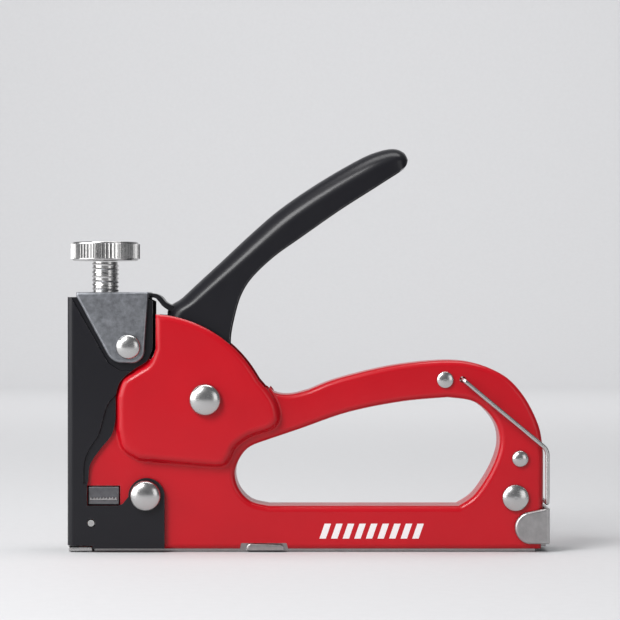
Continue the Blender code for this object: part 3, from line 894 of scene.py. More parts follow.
@dataclass
class NodeTool:
    """A Geometry Nodes tree with named sizes, run on an object."""

    name: str

    def __post_init__(self) -> None:
        """Makes the empty tree with its geometry sockets."""
        self.tree = bpy.data.node_groups.new(self.name, "GeometryNodeTree")
        self.tree.interface.new_socket("Geometry", in_out="INPUT", socket_type="NodeSocketGeometry")
        self.tree.interface.new_socket("Geometry", in_out="OUTPUT", socket_type="NodeSocketGeometry")
        self.graph = Graph(self.tree)
        self.sizes: list[tuple[str, float | None]] = []
        self.source = self.tree.nodes.new("NodeGroupInput")

    def start(self) -> Wire:
        """The geometry of the object that the tree runs on."""
        return Wire(self.graph, self.source.outputs[0])

    def size(self, name: str, value: float | None, kind: str = "NodeSocketFloat") -> Wire:
        """Adds a named size.

        Args:
            name: the size's name.
            value: its value; None stands for the finish.
            kind: its socket's type.

        Returns:
            Its wire.
        """
        item = self.tree.interface.new_socket(name, in_out="INPUT", socket_type=kind)
        self.sizes.append((item.identifier, value))
        return Wire(self.graph, self.source.outputs[name])

    def end(self, geometry: Wire) -> None:
        """Ends the tree with Realize Instances and Set Material.

        Args:
            geometry: what the tree has made.
        """
        finish = self.size("Finish", None, "NodeSocketMaterial")
        real = self.graph.node("GeometryNodeRealizeInstances", {}, {0: geometry})
        made = self.graph.node("GeometryNodeSetMaterial", {}, {"Geometry": real, "Material": finish})
        sink = self.tree.nodes.new("NodeGroupOutput")
        self.graph.feed(sink.inputs[0], made)

    def run(self, piece: bpy.types.Object, finish: bpy.types.Material) -> bpy.types.Object:
        """Runs the tree on a piece and leaves a plain mesh.

        Args:
            piece: the piece to run on.
            finish: the material of what is made.

        Returns:
            The same piece.
        """
        modifier = piece.modifiers.new(self.name, "NODES")
        modifier.node_group = self.tree
        for identifier, value in self.sizes:
            modifier[identifier] = finish if value is None else value
        return settled(piece)


@dataclass
class Coil:
    """A round coil of wire: a spring, or the ridge of a thread."""

    name: str
    radius: float
    wire_radius: float
    turns: float
    length: float
    wire_sides: int = 10

    def build(self, finish: bpy.types.Material, base: bpy.types.Object | None = None) -> bpy.types.Object:
        """Winds the coil up +Z from the origin.

        Args:
            finish: the coil's material.
            base: a piece that the coil is added to, if any.

        Returns:
            The coil as a plain mesh.
        """
        tool = NodeTool(f"{self.name} winding")
        graph = tool.graph
        radius = tool.size("Radius", self.radius * MM)
        thickness = tool.size("Wire radius", self.wire_radius * MM)
        turns = tool.size("Turns", self.turns)
        length = tool.size("Length", self.length * MM)
        spiral = graph.node("GeometryNodeCurveSpiral", {}, {
            "Resolution": 30, "Rotations": turns, "Start Radius": radius, "End Radius": radius,
            "Height": length})
        section = graph.node("GeometryNodeCurvePrimitiveCircle", {}, {
            "Resolution": self.wire_sides, "Radius": thickness})
        coil = graph.node("GeometryNodeCurveToMesh", {}, {
            "Curve": spiral, "Profile Curve": section, "Fill Caps": True})
        tool.end(graph.joined(tool.start(), coil))
        piece = base or new_piece(self.name, lambda bm: None)
        return tool.run(piece, finish)


@dataclass
class RivetHeads:
    """A through rivet with a formed head on each side."""

    name: str
    shaft: float
    head: float
    height: float
    face: float
    sharpness: float = 1.0

    def build(self, centre: Point, finish: bpy.types.Material) -> bpy.types.Object:
        """Forms the heads.

        Args:
            centre: the rivet's place in the side view.
            finish: its material.

        Returns:
            The rivet as a plain mesh.
        """
        tool = NodeTool(f"{self.name} heading")
        graph = tool.graph
        head = tool.size("Head radius", self.head * MM)
        height = tool.size("Head height", self.height * MM)
        sharpness = tool.size("Sharpness", self.sharpness)
        face = tool.size("Face distance", self.face * MM)
        shaft = tool.size("Shaft radius", self.shaft * MM)
        ball = graph.node("GeometryNodeMeshUVSphere", {}, {"Segments": 48, "Rings": 36, "Radius": 1.0})
        x, y, z = graph.axes(graph.node("GeometryNodeInputPosition"))
        up = graph.math("MAXIMUM", z, 0.0)
        rim_share, crown_share, dimple_from, dimple_depth = 0.2, 0.8, 0.9965, 0.06
        rim = graph.math("MINIMUM", up * 4.0, 1.0) * rim_share
        crown = (up ** sharpness) * crown_share
        dimple = graph.math("GREATER_THAN", z, dimple_from) * (sharpness - 1.0) * dimple_depth
        shaped = graph.node("ShaderNodeCombineXYZ", {}, {
            0: x * head, 1: y * head, 2: (rim + crown - dimple) * height})
        dome = graph.node("GeometryNodeSetPosition", {}, {"Geometry": ball, "Position": shaped})
        points = graph.node("GeometryNodeMeshLine", {"mode": "END_POINTS"}, {
            "Count": 2, "Start Location": graph.node("ShaderNodeCombineXYZ", {}, {1: face * -1.0}),
            "Offset": graph.node("ShaderNodeCombineXYZ", {}, {1: face})})
        turn = graph.math("SIGN", y) * (-math.pi / 2)
        heads = graph.node("GeometryNodeInstanceOnPoints", {}, {
            "Points": points, "Instance": dome,
            "Rotation": graph.node("ShaderNodeCombineXYZ", {}, {0: turn})})
        rod = graph.node("GeometryNodeMeshCylinder", {}, {
            "Vertices": 24, "Radius": shaft, "Depth": face * 2.0})
        laid = graph.node("GeometryNodeTransform", {}, {
            "Geometry": rod, "Rotation": (math.pi / 2, 0.0, 0.0)})
        tool.end(graph.joined(heads, laid))
        piece = tool.run(new_piece(self.name, lambda bm: None), finish)
        piece.data.transform(Matrix.Translation((centre[0] * MM, 0, centre[1] * MM)))
        piece.data.shade_smooth()
        piece.data.set_sharp_from_angle(angle=math.radians(50))
        return piece


@dataclass
class Knurl:
    """Straight ribs round a knob's rim."""

    count: int
    radius: float
    rib: float
    length: float

    def build(self, knob: bpy.types.Object, middle: Point3, finish: bpy.types.Material) -> bpy.types.Object:
        """Adds the ribs to a knob.

        Args:
            knob: the turned knob.
            middle: the middle of its rim.
            finish: its material.

        Returns:
            The knob with its ribs, as a plain mesh.
        """
        tool = NodeTool("Knurl rolling")
        graph = tool.graph
        count = tool.size("Ribs", self.count, "NodeSocketInt")
        radius = tool.size("Radius", self.radius * MM)
        rib = tool.size("Rib size", self.rib * MM)
        length = tool.size("Rib length", self.length * MM)
        ring = graph.node("GeometryNodeMeshCircle", {}, {"Vertices": count, "Radius": radius})
        block = graph.node("GeometryNodeMeshCube", {}, {
            "Size": graph.node("ShaderNodeCombineXYZ", {}, {0: rib, 1: rib, 2: length})})
        edge_on = graph.node("GeometryNodeTransform", {}, {
            "Geometry": block, "Rotation": (0.0, 0.0, math.pi / 4)})
        place = graph.node("GeometryNodeInputPosition")
        facing = graph.node("FunctionNodeAlignRotationToVector", {"axis": "X"}, {"Vector": place})
        ribs = graph.node("GeometryNodeInstanceOnPoints", {}, {
            "Points": ring, "Instance": edge_on, "Rotation": facing})
        moved = graph.node("GeometryNodeTransform", {}, {
            "Geometry": ribs, "Translation": tuple(c * MM for c in middle)})
        tool.end(graph.joined(tool.start(), moved))
        return tool.run(knob, finish)


# ---------------------------------------------------------------- sub-assemblies

PIVOT = (-31.05, 45.9)
BRACKET_RIVET = (-54.2, 61.8)
NOSE_RIVET = (-49.1, 16.95)
UPPER_RIVET = (41.25, 51.8)
REAR_RIVET = (63.9, 28.0)
LATCH_RIVET = (62.5, 16.2)
LOCK_PIVOT = (46.6, 51.9)
NOSE_PIN = (-65.5, 8.7)
SCREW_X = -61.95
ROD_Z = 5.4
PIVOT_SHAFT = 2.4
BRACKET_SHAFT = 1.6
RIVET_SHAFT = 2.0
PIN_RADIUS = 1.0
LOCK_WIRE = 0.65
HOLE_GAP = 0.3


@dataclass
class BodyShells:
    """The two pressed halves of the body, each a dished sheet with a raised middle."""

    sheet: float = 1.1
    outer: float = 8.0
    inner: float = 6.9
    raised: float = 11.0
    raised_inner: float = 9.9
    edge: float = 1.8
    raised_edge: float = 2.3
    fineness: int = 6

    def outline(self) -> list[Point]:
        """The lower level of a shell in the side view.

        Returns:
            The loop, counterclockwise.
        """
        rear = curve([(71.0, 29.5), (69.6, 38.0), (64.6, 47.6), (57.4, 54.1), (45.4, 57.6), (27.4, 56.4),
                      (9.4, 52.3), (0.0, 48.7)], self.fineness)
        fillet = curve([(0.0, 48.7), (-5.6, 47.4), (-10.6, 48.1), (-14.7, 51.9)], self.fineness)
        inner = [(x - 0.35, z - 0.35) for x, z in self.round_top()[4:]]
        foot = [(-69.6, 2.0), (-64.9, 2.0), (-64.6, 0.6), (70.4, 0.6), (70.9, 13.6), (71.0, 21.0)]
        return foot + rear[:-1] + fillet + inner + [(-69.6, 71.6)]

    def round_top(self) -> list[Point]:
        """The arc over the raised middle."""
        return arc((-48.45, 33.9), 38.2, 28.1, 81.9, 5 * self.fineness)

    def opening(self) -> list[Point]:
        """The finger opening.

        Returns:
            The loop, counterclockwise.
        """
        front = curve([(-12.0, 13.7), (-17.6, 15.2), (-21.4, 19.6), (-22.0, 25.2), (-18.5, 31.0),
                       (-12.0, 33.8)], self.fineness)
        roof = curve([(-12.0, 33.8), (-2.5, 37.0), (12.0, 42.0), (28.0, 45.2), (42.0, 46.5)], self.fineness)
        rear = curve([(42.0, 46.5), (50.2, 45.1), (56.0, 39.7), (57.8, 33.0), (55.6, 25.4), (50.4, 17.3),
                      (45.4, 13.7)], self.fineness)
        return turned_left(front[:-1] + roof[:-1] + rear)

    def middle(self) -> list[Point]:
        """The raised middle.

        Returns:
            The loop, counterclockwise.
        """
        foot = curve([(-46.4, 61.3), (-48.2, 57.0), (-52.2, 54.3), (-55.9, 51.7), (-57.6, 46.8)],
                     self.fineness)
        corner = curve([(-57.6, 37.0), (-56.0, 31.0), (-51.0, 27.7)], self.fineness)
        rim = curve([(-28.0, 25.75), (-25.3, 26.2), (-23.6, 28.3), (-22.0, 31.6), (-17.5, 34.9),
                     (-11.4, 36.9), (-8.9, 39.9), (-9.6, 44.6), (-11.9, 48.6), (-14.6, 51.8)], 4)
        return [(-46.4, 72.0)] + foot + corner + rim + self.round_top()[1:]

    def wall(self, point: Point) -> float:
        """How far the inside stands off the outline: past it where the shell is open."""
        x, z = point
        return 3.0 if z < 13.0 or x < -60.0 or (z > 50.0 and x < -11.5) else -self.sheet

    def raised_wall(self, point: Point) -> float:
        """The same for the raised middle, which is open on top."""
        x, z = point
        return 3.0 if z > 49.5 and x > -47.5 else -self.sheet - 0.3

    def left(self, name: str) -> bpy.types.Object:
        """Presses the left half.

        Args:
            name: the piece's name.

        Returns:
            The closed solid.
        """
        def outwards(levels: Sequence[Level]) -> list[Level]:
            """Levels counted from the middle plane towards the left."""
            return [(-y, inset) for y, inset in levels]

        outline, opening, middle = self.outline(), self.opening(), self.middle()
        face = [(0.15, 0.0)] + rounded_face(self.outer, self.edge, 5)
        shell = slab(name, [outline, opening], outwards(face))
        blend = [(7.0, -0.8), (8.02, -0.8), (8.16, -0.45), (8.42, -0.14)]
        crown = blend + rounded_face(self.raised, self.raised_edge, 7)
        combine(shell, [slab("raised", [middle], outwards(crown))], "UNION")
        deep = [(-1.0, 0.0), (8.6, 0.0), (self.raised_inner, 1.2)]
        cutters = [
            slab("window", [rectangle((-66.7, 13.9), (-56.9, 19.9))], outwards([(5.0, 0.0), (12.0, 0.0)])),
            slab("notch", [[(-21.0, -1.0), (-5.8, -1.0), (-6.6, 2.5), (-20.4, 2.5)]],
                 outwards([(5.0, 0.0), (12.0, 0.0)])),
            slab("hollow", [grown(middle, self.raised_wall)], outwards(deep)),
            slab("pocket", [grown(outline, self.wall), grown(opening, self.sheet)],
                 outwards([(-1.0, 0.0), (self.inner, 0.0)])),
        ]
        combine(shell, cutters, "DIFFERENCE")
        drilled(shell, [
            (PIVOT, PIVOT_SHAFT + HOLE_GAP), (BRACKET_RIVET, BRACKET_SHAFT + HOLE_GAP),
            (NOSE_RIVET, RIVET_SHAFT + HOLE_GAP), (UPPER_RIVET, RIVET_SHAFT + HOLE_GAP),
            (REAR_RIVET, RIVET_SHAFT + HOLE_GAP), (LATCH_RIVET, RIVET_SHAFT + HOLE_GAP),
            (LOCK_PIVOT, LOCK_WIRE + HOLE_GAP), (NOSE_PIN, PIN_RADIUS + HOLE_GAP)])
        return sealed(shell)

    def build(self, wardrobe: Wardrobe) -> None:
        """Makes both halves.

        Args:
            wardrobe: puts pieces on their bodies with their finishes.
        """
        left = self.left("left_shell_pressing")
        mesh = left.data.copy()
        mesh.transform(Matrix.Scale(-1, 4, (0, 1, 0)))
        mesh.flip_normals()
        right = placed("right_shell_pressing", mesh)
        for piece, node in ((left, "left_body_shell"), (right, "right_body_shell")):
            wardrobe.dress(smoothed(piece, 0.0, 28.0), Slot.RED, "housing", node)


@dataclass
class FrontCover:
    """The black cap round the front, with a lowered margin and a lowered seat for the bracket."""

    front: float = -72.75
    half: float = 9.5
    inside: float = 8.3
    lowered: float = 9.0
    wall: float = 1.2
    corner: float = 2.0
    fineness: int = 6

    def edge(self) -> list[Point]:
        """The rear edge, from the bottom to the top.

        Returns:
            Its points.
        """
        lobe = arc((-48.85, 16.8), 5.45, 0, 182, 26)
        window = [(-55.9, 14.6), (-57.2, 13.9), (-66.8, 13.9), (-66.8, 19.9)]
        rise = curve([(-66.4, 21.5), (-65.8, 26.4), (-62.6, 31.2), (-59.4, 35.2), (-58.2, 40.0)],
                     self.fineness)
        shoulder = curve([(-58.2, 46.8), (-56.7, 51.4), (-52.6, 55.0), (-48.7, 57.6), (-47.0, 61.5)],
                         self.fineness)
        return [(-43.4, 1.0)] + lobe + window + rise + shoulder + [(-47.0, 75.6)]

    def margin(self) -> list[Point]:
        """The lowered band along the rear edge.

        Returns:
            The loop, counterclockwise.
        """
        line = curve([(-57.9, 47.6), (-60.8, 44.0), (-63.2, 35.7), (-65.9, 31.4), (-67.6, 27.0),
                      (-67.8, 20.4)], self.fineness)
        return turned_left(line + [(-60.0, 20.4), (-55.0, 40.0)])

    def seat(self) -> list[Point]:
        """The lowered field under the bracket."""
        return turned_left([(-72.3, 78.0), (-60.4, 56.9), (-57.0, 54.6), (-44.0, 54.6), (-44.0, 78.0)])

    def corner_cutter(self, side: int) -> bpy.types.Object:
        """What rounds off one front vertical corner.

        Args:
            side: -1 for the left, 1 for the right.

        Returns:
            The cutter.
        """
        near = side * (self.half - self.corner)
        bend = [(x, side * y) for x, y in
                arc((self.front + self.corner, self.half - self.corner), self.corner, 180, 90, 9)]
        ring = [(self.front - 1, side * 11.0), (self.front - 1, near)] + bend
        ring.append((self.front + self.corner, side * 11.0))
        return loft("corner", [[(x, y, z) for x, y in ring] for z in (-3.0, 81.0)])

    def build(self, wardrobe: Wardrobe) -> None:
        """Makes the cover.

        Args:
            wardrobe: puts pieces on their bodies with their finishes.
        """
        outline = [(self.front, 1.9), (-65.0, 1.9), (-65.0, 1.0)] + self.edge()
        outline += [(-49.5, 76.8), (self.front, 76.8)]
        cover = slab("front_cover_pressing", [outline], mirrored([(self.half, 0.0)]))
        hollow = rectangle((self.front + self.wall, -2.0), (-38.0, 80.0))
        cutters = [slab("hollow", [hollow], mirrored([(self.inside, 0.0)]))]
        for side in (-1, 1):
            for loop in (self.margin(), self.seat()):
                depths = [(self.lowered, 0.25), (self.lowered + 0.3, 0.0), (12.0, 0.0)]
                cutters.append(slab("lowered", [loop], [(side * y, inset) for y, inset in depths]))
            cutters.append(self.corner_cutter(side))
        combine(cover, cutters, "DIFFERENCE")
        drilled(cover, [
            (BRACKET_RIVET, BRACKET_SHAFT + HOLE_GAP), (NOSE_RIVET, RIVET_SHAFT + HOLE_GAP),
            (NOSE_PIN, PIN_RADIUS + HOLE_GAP)])
        wardrobe.dress(smoothed(cover, 0.16, 40.0), Slot.BLACK, "housing", "front_cover")


@dataclass
class TopBracket:
    """The plated strap that carries the adjusting screw."""

    top: float = 78.3
    half: float = 10.5
    inside: float = 9.3
    plate: float = 1.2
    bore: float = 4.4

    def outline(self) -> list[Point]:
        """The side of the bracket.

        Returns:
            The loop, counterclockwise.
        """
        rear = arc((-53.3, 60.8), 4.0, 0, -95, 18)
        front = arc((-56.2, 61.9), 5.0, -98, -152, 12)
        return turned_left([(-48.2, self.top)] + rear + front + [(-69.9, 76.9), (-69.9, self.top)])

    def build(self, wardrobe: Wardrobe) -> None:
        """Makes the bracket.

        Args:
            wardrobe: puts pieces on their bodies with their finishes.
        """
        levels = mirrored(rounded_face(self.half, 0.9, 5))
        bracket = slab("bracket_bending", [self.outline()], levels)
        hollow = rectangle((-75.0, 50.0), (-40.0, self.top - self.plate))
        bore = lathe("bore", [(0, 70.0), (self.bore, 70.0), (self.bore, 85.0), (0, 85.0)], (SCREW_X, 0.0),
                     "Z", 48)
        combine(bracket, [slab("hollow", [hollow], mirrored([(self.inside, 0.0)])), bore], "DIFFERENCE")
        drilled(bracket, [(BRACKET_RIVET, BRACKET_SHAFT + HOLE_GAP)])
        wardrobe.dress(smoothed(bracket, 0.2, 40.0), Slot.ZINC, "housing", "top_bracket")


@dataclass
class Rivets:
    """The through rivets that hold the body together.

    Each row holds the node, the centre, the shaft's radius, the head's radius and height, and how far the
    head's flat side is from the middle plane. The marked ones have a small dimple in a more pointed head.
    """

    domes: tuple[tuple[str, Point, float, float, float, float], ...] = (
        ("handle_pivot_rivet", PIVOT, PIVOT_SHAFT, 4.8, 2.7, 11.3),
        ("bracket_rivet", BRACKET_RIVET, BRACKET_SHAFT, 3.75, 2.3, 10.8),
        ("nose_rivet", NOSE_RIVET, RIVET_SHAFT, 4.65, 2.7, 9.8),
    )
    marked: tuple[tuple[str, Point, float, float, float, float], ...] = (
        ("upper_rivet", UPPER_RIVET, RIVET_SHAFT, 2.5, 0.9, 8.3),
        ("rear_rivet", REAR_RIVET, RIVET_SHAFT, 2.5, 1.3, 8.3),
        ("latch_rivet", LATCH_RIVET, RIVET_SHAFT, 4.05, 1.7, 8.3),
    )

    def build(self, wardrobe: Wardrobe) -> None:
        """Heads every rivet.

        Args:
            wardrobe: puts pieces on their bodies with their finishes.
        """
        for group, sharpness in ((self.domes, 1.0), (self.marked, 1.5)):
            for node, centre, shaft, head, height, face in group:
                rivet = RivetHeads(f"{node}_headed", shaft, head, height, face, sharpness)
                piece = rivet.build(centre, wardrobe.material(Slot.NICKEL))
                wardrobe.dress(piece, Slot.NICKEL, "housing", node)


@dataclass
class Adjuster:
    """The power adjusting screw with its knurled knob."""

    core: float = 3.72
    ridge: float = 0.36
    pitch: float = 1.25
    low: float = 69.0
    high: float = 87.6
    knob_low: float = 87.9
    knob_high: float = 93.6
    rim: float = 10.02
    lip: float = 0.45
    ribs: int = 55
    rib: float = 0.62
    rib_circle: float = 10.05
    rib_margin: float = 1.3
    run_in: float = 1.1
    thread_margin: float = 1.5

    def screw(self, wardrobe: Wardrobe) -> None:
        """Turns the screw and winds its thread round it.

        Args:
            wardrobe: puts pieces on their bodies with their finishes.
        """
        profile = [(0, self.high), (self.core, self.high), (self.core, self.low + 0.7), (3.2, self.low),
                   (0, self.low)]
        base = lathe("screw_turning", profile, (0.0, 0.0), "Z", 40)
        base.data.transform(Matrix.Translation((0, 0, -(self.low + self.run_in) * MM)))
        length = self.high - self.low - self.thread_margin
        thread = Coil("screw thread", self.core, self.ridge, length / self.pitch, length, wire_sides=6)
        piece = thread.build(wardrobe.material(Slot.NICKEL), base)
        piece.data.transform(Matrix.Translation((SCREW_X * MM, 0, (self.low + self.run_in) * MM)))
        wardrobe.dress(smoothed(piece, 0.0, 50.0), Slot.NICKEL, "adjuster_body", "adjuster_screw")

    def knob(self, wardrobe: Wardrobe) -> None:
        """Turns the knob and rolls its ribs.

        Args:
            wardrobe: puts pieces on their bodies with their finishes.
        """
        low, high = self.knob_low, self.knob_high
        lip = arc((self.rim - self.lip, high - self.lip), self.lip, 90, 0, 5)
        foot = arc((self.rim - self.lip, low + self.lip), self.lip, 0, -90, 5)
        dish = [(0, high - 0.45), (5.6, high - 0.45), (8.3, high - 0.4), (8.9, high - 0.12), (9.3, high)]
        knob = lathe("knob_turning", dish + lip + foot + [(0, low)], (SCREW_X, 0.0), "Z", 110)
        ribs = Knurl(self.ribs, self.rib_circle, self.rib, high - low - self.rib_margin)
        middle = (SCREW_X, 0.0, (low + high) / 2)
        piece = ribs.build(knob, middle, wardrobe.material(Slot.NICKEL))
        wardrobe.dress(smoothed(piece, 0.0, 30.0), Slot.NICKEL, "adjuster_body", "adjuster_knob")

    def build(self, wardrobe: Wardrobe) -> None:
        """Makes the screw and the knob."""
        self.screw(wardrobe)
        self.knob(wardrobe)


@dataclass
class Handle:
    """The squeezed lever: a pressed channel with a round crown, two pivot ears and a front tongue."""

    half: float = 8.0
    sheet: float = 1.2
    through: float = 4.0
    fineness: int = 5
    crown_steps: int = 12

    def section(self, station: Sequence[float], half: float, crown: float, lift: float,
                drop: float) -> list[Point3]:
        """One cross-section.

        Args:
            station: (top x, top z, foot x, foot z, half width, crown height).
            half: half width of this section.
            crown: how high its round crown is.
            lift: how far its top stands above the station's.
            drop: how far its foot reaches below the station's.

        Returns:
            The section's points.
        """
        foot, top = Vector((station[2], station[3])), Vector((station[0], station[1]))
        height = (top - foot).length
        up = (top - foot) / height
        shoulder = height + lift - crown
        quarter = math.pi / 2 / self.crown_steps
        profile = [(half, -drop)]
        for i in range(self.crown_steps):
            profile.append((half * math.cos(quarter * i), shoulder + crown * math.sin(quarter * i)))
        profile.append((0.0, height + lift))
        profile += [(-y, v) for y, v in reversed(profile[:-1])]
        return [(foot.x + up.x * v, y, foot.y + up.y * v) for y, v in profile]

    def stations(self) -> tuple[list[Sequence[float]], int]:
        """The stations from the ears to the tip.

        Returns:
            The stations and the number of ears.
        """
        ears = [(-36.2, 38.9, -26.6, 38.9, self.half, 0.1), (-37.6, 40.4, -24.9, 40.4, self.half, 0.1),
                (-38.6, 42.4, -23.6, 42.4, self.half, 0.1), (-40.2, 51.0, -23.2, 49.0, self.half, 0.3)]
        grip = [(-41.9, 62.0, -23.5, 57.5, self.half, 1.5), (-43.0, 72.6, -23.9, 64.3, self.half, 5.0),
                (-38.5, 76.6, -22.5, 71.8, self.half, 5.6), (-32.5, 82.2, -20.5, 78.0, self.half, 5.8),
                (-26.5, 87.7, -17.0, 83.3, self.half, 5.8), (-17.5, 96.1, -10.5, 89.4, self.half, 5.8),
                (-8.5, 103.8, -2.5, 95.1, self.half, 5.8), (3.4, 111.9, 9.5, 103.5, self.half, 5.8),
                (15.4, 118.8, 20.0, 110.2, 7.9, 5.6), (21.5, 121.3, 24.7, 113.2, 7.6, 5.2),
                (26.0, 122.0, 28.0, 115.3, 7.0, 4.4), (29.0, 120.9, 29.4, 116.4, 5.8, 3.0),
                (30.2, 118.9, 30.0, 117.5, 4.0, 0.9)]
        return ears + curve(grip, self.fineness), len(ears)

    def build(self, wardrobe: Wardrobe) -> None:
        """Presses the handle.

        Args:
            wardrobe: puts pieces on their bodies with their finishes.
        """
        stations, ears = self.stations()
        outer = [self.section(s, s[4], s[5], 0.0, 0.0) for s in stations]
        handle = drilled(loft("handle_pressing", outer), [(PIVOT, PIVOT_SHAFT + HOLE_GAP)])
        inner = []
        for number, s in enumerate(stations[:-2 * self.fineness]):
            ear = number < ears
            crown, lift = (0.3, self.through) if ear else (max(s[5] - 1.0, 0.4), -self.sheet)
            inner.append(self.section(s, s[4] - self.sheet, crown, lift, self.through))
        below = [(x, y, z - 3.0) for x, y, z in inner[0]]
        combine(handle, [loft("inside", [below] + inner)], "DIFFERENCE")
        wardrobe.dress(smoothed(handle, 0.0, 35.0), Slot.BLACK, "handle_body", "handle")
        crest = curve([(-41.0, 74.2), (-43.2, 75.3), (-44.6, 76.9), (-46.2, 77.8), (-47.9, 78.0)], 6)
        under = curve([(-47.9, 76.7), (-46.4, 76.5), (-45.3, 75.4), (-43.9, 73.8), (-40.4, 71.6)], 6)
        tongue = slab("front_tongue", [turned_left(crest + under)], mirrored(rounded_face(5.6, 0.3, 3)))
        wardrobe.dress(smoothed(tongue, 0.0, 35.0), Slot.BLACK, "handle_body", "handle")


@dataclass
class HandleLock:
    """The wire loop that holds the handle down, stowed along the rear."""

    half: float = 10.2
    inner_end: float = 7.1
    radius: float = LOCK_WIRE
    bend: float = 1.8
    corner: Point = (71.95, 30.8)
    low: float = 14.7

    def build(self, wardrobe: Wardrobe) -> None:
        """Bends the wire.

        Args:
            wardrobe: puts pieces on their bodies with their finishes.
        """
        x, z = LOCK_PIVOT
        left = [(x, -self.inner_end, z), (x, -self.half, z), (self.corner[0], -self.half, self.corner[1]),
                (self.corner[0], -self.half, self.low)]
        path = left + [(px, -py, pz) for px, py, pz in reversed(left)]
        loop = wire("lock_wire_bending", filleted(path, self.bend, 8), self.radius, 16)
        wardrobe.dress(smoothed(loop, 0.0, 50.0), Slot.NICKEL, "lock_body", "handle_lock")


@dataclass
class Magazine:
    """The trough under the body with its finger tabs, the rear latch and the long spring."""

    rear: float = 72.75
    half: float = 6.6
    latch_half: float = 9.6
    latch_inside: float = 8.4

    def trough(self, wardrobe: Wardrobe) -> None:
        """Folds the trough and adds the tabs with their rolled tops.

        Args:
            wardrobe: puts pieces on their bodies with their finishes.
        """
        loop = rectangle((-64.8, 0.0), (68.5, 12.0))
        levels = mirrored([(self.half - 0.4, 0.0), (self.half - 0.12, 0.0), (self.half, 0.12)])
        trough = slab("trough_folding", [loop], levels)
        inside = slab("inside", [rectangle((-80.0, 0.9), (80.0, 20.0))], mirrored([(5.5, 0.3), (5.8, 0.6)]))
        combine(trough, [inside], "DIFFERENCE")
        rolled = arc((-8.7, 0.9), 1.2, 0, 85, 8) + arc((-17.4, 1.1), 1.3, 90, 180, 8)
        tab = [(-18.8, 0.3), (-7.5, 0.3)] + rolled
        tabs = []
        for side in (-1, 1):
            levels = [(side * 6.2, 0.0), (side * 8.2, 0.0), (side * 8.45, 0.1), (side * 8.6, 0.35)]
            tabs.append(slab("tab", [tab], levels))
        combine(trough, tabs, "UNION")
        wardrobe.dress(smoothed(trough, 0.0, 35.0), Slot.SATIN, "housing", "magazine_channel")

    def latch(self, wardrobe: Wardrobe) -> None:
        """Bends the rear latch.

        Args:
            wardrobe: puts pieces on their bodies with their finishes.
        """
        outline = [(self.rear, 2.3), (self.rear, 13.0), (71.0, 13.0)] + arc((67.1, 7.2), 4.9, 106, 262, 30)
        levels = mirrored(rounded_face(self.latch_half, 0.9, 5))
        latch = slab("latch_bending", [turned_left(outline)], levels)
        hollow = rectangle((40.0, -2.0), (71.5, 30.0))
        combine(latch, [slab("hollow", [hollow], mirrored([(self.latch_inside, 0.0)]))], "DIFFERENCE")
        lip = slab("lip", [rectangle((67.0, 1.3), (72.0, 2.9))], mirrored([(4.8, 0.0), (5.0, 0.2)]))
        combine(latch, [lip], "UNION")
        bore = lathe("bore", [(0, 60.0), (1.5, 60.0), (1.5, 80.0), (0, 80.0)], (0.0, ROD_Z), "X", 32)
        combine(latch, [bore], "DIFFERENCE")
        wardrobe.dress(smoothed(latch, 0.15, 40.0), Slot.SATIN, "pusher_body", "rear_latch")

    def spring(self, wardrobe: Wardrobe) -> None:
        """Winds the long spring, which gets shorter as the follower is pushed back.

        Args:
            wardrobe: puts pieces on their bodies with their finishes.
        """
        start, end = -54.3, 65.6
        coil = Coil("long_spring_winding", radius=2.15, wire_radius=0.35, turns=30, length=end - start,
                    wire_sides=6)
        piece = coil.build(wardrobe.material(Slot.SATIN))
        turn = Matrix.Rotation(math.pi / 2, 4, "Y")
        piece.data.transform(Matrix.Translation((start * MM, 0, ROD_Z * MM)) @ turn)
        wardrobe.dress(smoothed(piece, 0.0, 50.0), Slot.SATIN, "pusher_body", "pusher_spring")
        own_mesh(piece)

    def build(self, wardrobe: Wardrobe) -> None:
        """Makes the magazine's visible parts.

        Args:
            wardrobe: puts pieces on their bodies with their finishes.
        """
        self.trough(wardrobe)
        self.latch(wardrobe)
        self.spring(wardrobe)


